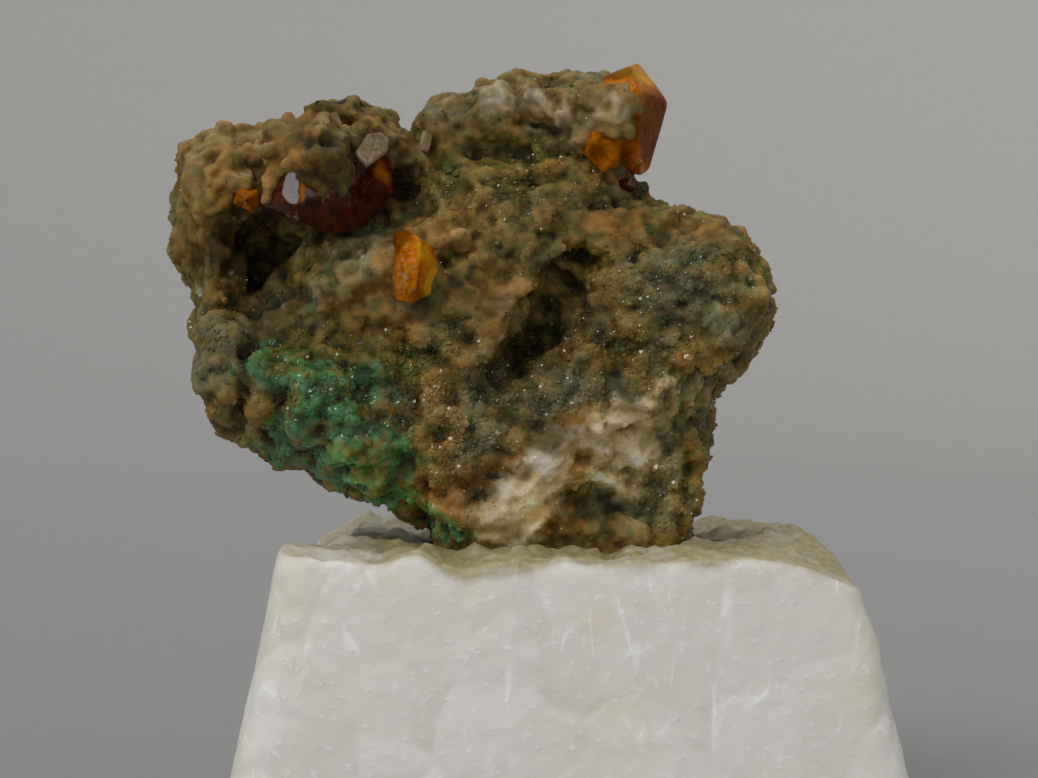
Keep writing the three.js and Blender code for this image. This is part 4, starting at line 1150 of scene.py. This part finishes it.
def faceted_shell(corners, rows, edge, seed):
    """A crystal as a radius over the sphere's angles: along each direction u the nearest of the planes,
    d / (n . u), with the minimum softened over `edge` mm so that the edges round off, and each plane
    raised in low terraces."""
    middle, normals, distances = facets(corners)
    columns = 2 * rows
    down = np.linspace(0, math.pi, rows + 1)[1:-1]
    around = np.arange(columns) * 2 * math.pi / columns
    around, down = (grid.ravel() for grid in np.meshgrid(around, down))
    units = np.stack([np.sin(down) * np.cos(around), np.cos(down), np.sin(down) * np.sin(around)], 1)
    units = np.concatenate([units, [[0, 1, 0], [0, -1, 0]]])
    facing = units @ normals.T
    reach = np.where(facing > GRAZING, distances / np.maximum(facing, GRAZING), NO_PLANE)
    for number in range(len(distances)):
        near = units * np.minimum(reach[:, number], 20)[:, None]
        level = clouds(near + 7.0 * number, TERRACE_SIZE, seed + number)
        terrace = TERRACE * (np.round(2 * level) / 2 + 0.15 * level)
        reach[:, number] += terrace / np.maximum(facing[:, number], 0.3)
    least = reach.min(axis=1, keepdims=True)
    radius = least[:, 0] - edge * np.log(np.exp(-(reach - least) / edge).sum(axis=1))
    points = middle + units * radius[:, None]
    first = np.arange(columns)
    second = (first + 1) % columns
    starts = np.arange(rows - 2)[:, None] * columns
    here, after = (starts + first).ravel(), (starts + second).ravel()
    last = (rows - 2) * columns
    pole = np.full(columns, last + columns)
    return points, np.concatenate([
        np.stack([here, after, after + columns], 1), np.stack([here, after + columns, here + columns], 1),
        np.stack([pole, second, first], 1), np.stack([pole + 1, last + first, last + second], 1),
    ])


def join_parts(name, shells):
    """One closed piece from overlapping closed parts, by a Boolean union."""
    whole = new_object(name, *shells[0])
    for points, faces in shells[1:]:
        other = new_object("part", points, faces)
        union = whole.modifiers.new("union", "BOOLEAN")
        union.operation = "UNION"
        union.object = other
        whole.modifiers.new("triangles", "TRIANGULATE")
        seen = whole.evaluated_get(bpy.context.evaluated_depsgraph_get())
        joined = bpy.data.meshes.new_from_object(seen)
        whole.modifiers.clear()
        whole.data = joined
        bpy.data.objects.remove(other)
    return whole


def dress_crystals():
    """Every crystal as its own faceted piece, in the place of its CAD node."""
    look = bpy.context.scene.specimen_crystals
    orange = wulfenite(
        "wulfenite_orange", body=look.orange, dark=0xB05C08, glow=look.glow, mirror=0xF0D8A8, etching=0.6,
        absorbed=0xFFAE3C, density=look.density, clear=look.clear, index=look.index,
    )
    # A darker copy of the orange, for the knob's crystal and the red chip: painted shade for the knob's
    # crystal under the dome's shadow, and partly their own deeper red.
    deep_and_shaded = wulfenite(
        "wulfenite_deep", body=look.deep_and_shaded, dark=0x2C0D02, glow=look.orange, mirror=0xFFFFFF, etching=0.1,
        absorbed=0xFF7A2A, density=4 * look.density, clear=look.clear, index=1.25 * look.index,
    )
    pale = wulfenite(
        "wulfenite_pale", body=0x95805E, dark=0x786444, glow=0xBCA888, mirror=0xFFFFFF, etching=0.3,
        absorbed=0xF2E6CC, density=300.0, clear=0.3, index=1.5,
    )
    finish = dict.fromkeys(CRYSTALS, (orange, "wulfenite_orange"))
    finish |= dict.fromkeys(("wulfenite_knob", "wulfenite_red"), (deep_and_shaded, "wulfenite_deep"))
    finish |= dict.fromkeys(("wulfenite_plate", "pale_blade", "pale_prism"), (pale, "pale_crystal"))
    for number, (node, parts) in enumerate(CRYSTALS.items()):
        big = node in BIG_CRYSTALS
        rows = BIG_ROWS if big else SMALL_ROWS
        edge = look.edge / MM * (1 if big else SMALL_EDGE)
        shells = [faceted_shell(np.array(corners), rows, edge, 200 + 40 * number) for corners in parts]
        obj = join_parts(node + "_crystal", shells)
        points, _ = read_mesh(obj.data)
        x, _, z = points.T
        fray = 0.25 * rough(points, 0.6, 401, 3)
        write_attributes(obj.data, {
            "frost": smooth(0.2, 1.0, soft_ellipses(x, z, FROST) + fray),
            "glow": smooth(0.2, 0.9, soft_ellipses(x, z, GLOW) + fray),
            "dim": 0.8 * smooth(0.2, 0.9, soft_ellipses(x, z, DIM) + fray),
        })
        material, slot = finish[node]
        finish_piece(obj, material, node)


# ---- The stage ----


def paper_bowl():
    """A seamless floor and wall: along a disc's radius the profile runs out flat, up through a quarter
    circle and on as a wall."""
    share, angle, faces = disc_grid(121)
    bent = BOWL_FLAT + BOWL_BEND * math.pi / 2
    path = share * (bent + BOWL_WALL)
    turn = np.clip((path - BOWL_FLAT) / BOWL_BEND, 0, math.pi / 2)
    radius = np.minimum(path, BOWL_FLAT) + BOWL_BEND * np.sin(turn)
    height = BOWL_BEND * (1 - np.cos(turn)) + np.maximum(path - bent, 0)
    points = np.stack([radius * np.cos(angle), radius * np.sin(angle), height], 1)
    return points - ORIGIN, faces


def add_lamp(name, place, size, power, tint):
    """A square area lamp at a place in mm, aimed at the specimen."""
    lamp = bpy.data.lights.new(name, "AREA")
    lamp.size = size * MM
    lamp.energy = power
    lamp.color = tint
    obj = bpy.data.objects.new(name, lamp)
    bpy.context.collection.objects.link(obj)
    obj.location = (np.array(place) + ORIGIN) * MM
    towards = Vector((np.array(LAMP_AIM) + ORIGIN) * MM) - obj.location
    obj.rotation_euler = towards.to_track_quat("-Z", "Y").to_euler()


def dress_stage():
    """Floor and backdrop, soft lamps, even light from all round, and the camera."""
    look = bpy.context.scene.specimen_stage
    points, faces = paper_bowl()
    floor = new_object("studio_floor", points, faces)
    floor.data.materials.append(studio_paper())

    for name, (place, size, tint) in LAMPS.items():
        add_lamp(name + "_lamp", place, size, getattr(look, name), tint)

    world = bpy.data.worlds.new("even_light")
    world.use_nodes = True
    background = world.node_tree.nodes["Background"]
    background.inputs["Color"].default_value = (1, 1, 1, 1)
    background.inputs["Strength"].default_value = look.even
    scene = bpy.context.scene
    scene.world = world
    scene.view_settings.view_transform = "Standard"

    camera = bpy.data.objects.new("camera", bpy.data.cameras.new("camera"))
    bpy.context.collection.objects.link(camera)
    camera.data.sensor_width = SENSOR
    camera.data.lens = LENS
    camera.data.clip_start = NEAREST_SEEN * MM
    camera.location = (np.array(EYE) + ORIGIN) * MM
    camera.rotation_euler = (math.radians(90 + EYE_PITCH), 0, 0)
    scene.camera = camera


# ---- The add-on ----


def amount(name, description, default, **limits):
    """A setting that is a number, plain or with the unit that is given."""
    return FloatProperty(name=name, description=description, default=default, **limits)


def length(name, description, default):
    """A setting that is a length, its default in mm."""
    return amount(name, description, default * MM, unit="LENGTH", precision=5)


def paint(name, description, code):
    """A setting that is a colour, its default an sRGB hex value."""
    return FloatVectorProperty(
        name=name, description=description, default=to_linear(code), subtype="COLOR", min=0, max=1
    )


class BlockSettings(bpy.types.PropertyGroup):
    """The foam block's sizes and colours."""

    bead_size: length("Bead size", "Distance between the middles of neighbouring beads", 2.7)
    soil_colour: paint("Soil", "Colour of the handled, dusty top", 0x9E9062)


class RockSettings(bpy.types.PropertyGroup):
    """The rock's grain, and the crest colours of its growths."""

    skin: length("Skin grain", "Size of the faces of the rock's skin", 0.131)
    most_faces: IntProperty(name="Most faces", description="Triangles kept in the rock", default=194000)
    ground: paint("Ground", "Brown crests of the plain ground", 0x8B723A)
    slate: paint("Slate", "Grey-green druse crests", 0x86794E)
    crust: paint("Crust", "Sandy crust on the knob and the shoulder", 0x947840)
    olive: paint("Olive", "Dark druse in the set-back bands", 0x8A7234)
    # Also painted shade in the cavity and undercut under the knob, besides the dome's own dark colour.
    umber_and_shade: paint("Umber", "Dark velvet of the dome over the knob's crystal", 0x5E4A1A)
    rust: paint("Rust", "Iron-stained sugary ground", 0x96743E)
    malachite: paint("Malachite", "Green botryoidal skin", 0x468846)
    cream: paint("Cream", "Pale crust on the shoulder", 0xAE9A6E)
    chalk: paint("Chalk", "White vein filling", 0xE0D0A8)


class DruseSettings(bpy.types.PropertyGroup):
    """How many quartz points there are, and how wide."""

    count: IntProperty(name="Points", description="Most quartz points in a piece", default=15000, min=0)
    size: length("Width", "Typical width of a quartz point", 0.115)


class CrystalSettings(bpy.types.PropertyGroup):
    """The crystals' colours and clearness."""

    orange: paint("Orange", "Body colour of the orange crystals", 0xF08C0A)
    glow: paint("Glow", "Colour of thin, lit edges", 0xFFBE28)
    # Partly painted shade: darkened for the knob's crystal lying in the dome's shadow.
    deep_and_shaded: paint("Deep orange", "Body colour of the crystal in the knob", 0x62280C)
    frosting: paint("Frosting", "Colour of the etched faces", 0xDCB88C)
    index: amount("Index", "Refractive index of the crystals", 1.2, min=1)
    clear: amount("Clearness", "Share of light let through", 0.35, min=0, max=1)
    density: amount("Density", "Absorption inside, per metre", 160.0, min=0)
    edge: length("Edge", "How far the edges between faces are rounded", 0.045)


class StageSettings(bpy.types.PropertyGroup):
    """The lamps' powers and the even light."""

    key: amount("Key", "Power of the lamp at the upper left", 1.9, unit="POWER")
    fill: amount("Fill", "Power of the lamp at the right", 0.48, unit="POWER")
    top: amount("Top", "Power of the lamp above", 1.6, unit="POWER")
    even: amount("Even light", "Strength of the light from all round", 0.225)


class SPECIMEN_OT_block(bpy.types.Operator):
    """Build the foam block with its beads, worn rim and pressed hollow"""

    bl_idname = "specimen.block"
    bl_label = "Foam block"

    def execute(self, context):
        dress_block()
        return {"FINISHED"}


class SPECIMEN_OT_rock(bpy.types.Operator):
    """Build the rock's skin"""

    bl_idname = "specimen.rock"
    bl_label = "Rock"

    def execute(self, context):
        dress_rock()
        return {"FINISHED"}


class SPECIMEN_OT_druse(bpy.types.Operator):
    """Strew the quartz points over the rock"""

    bl_idname = "specimen.druse"
    bl_label = "Druse"

    def execute(self, context):
        dress_druse()
        return {"FINISHED"}


class SPECIMEN_OT_crystals(bpy.types.Operator):
    """Build the wulfenite and the pale crystals"""

    bl_idname = "specimen.crystals"
    bl_label = "Crystals"

    def execute(self, context):
        dress_crystals()
        return {"FINISHED"}


class SPECIMEN_OT_stage(bpy.types.Operator):
    """Set up the floor, the lamps and the camera"""

    bl_idname = "specimen.stage"
    bl_label = "Stage"

    def execute(self, context):
        dress_stage()
        return {"FINISHED"}


GROUPS = {
    "specimen_block": BlockSettings, "specimen_rock": RockSettings, "specimen_druse": DruseSettings,
    "specimen_crystals": CrystalSettings, "specimen_stage": StageSettings,
}
STEPS = (
    SPECIMEN_OT_stage, SPECIMEN_OT_block, SPECIMEN_OT_rock, SPECIMEN_OT_druse, SPECIMEN_OT_crystals,
)


class SPECIMEN_PT_panel(bpy.types.Panel):
    """The specimen's sizes, colours and building steps"""

    bl_label = "Wulfenite specimen"
    bl_space_type = "VIEW_3D"
    bl_region_type = "UI"
    bl_category = "Specimen"

    def draw(self, context):
        for name, group in GROUPS.items():
            box = self.layout.box()
            for key in group.__annotations__:
                box.prop(getattr(context.scene, name), key)
        for step in STEPS:
            self.layout.operator(step.bl_idname)


def register():
    for group in GROUPS.values():
        bpy.utils.register_class(group)
    for step in (*STEPS, SPECIMEN_PT_panel):
        bpy.utils.register_class(step)
    for name, group in GROUPS.items():
        setattr(bpy.types.Scene, name, PointerProperty(type=group))


def unregister():
    for name in GROUPS:
        delattr(bpy.types.Scene, name)
    for step in (SPECIMEN_PT_panel, *reversed(STEPS)):
        bpy.utils.unregister_class(step)
    for group in reversed(GROUPS.values()):
        bpy.utils.unregister_class(group)


def main():
    """Builds everything in order."""
    register()
    bpy.ops.specimen.stage()
    bpy.ops.specimen.block()
    bpy.ops.specimen.rock()
    bpy.ops.specimen.druse()
    bpy.ops.specimen.crystals()


if __name__ == "__main__":
    main()
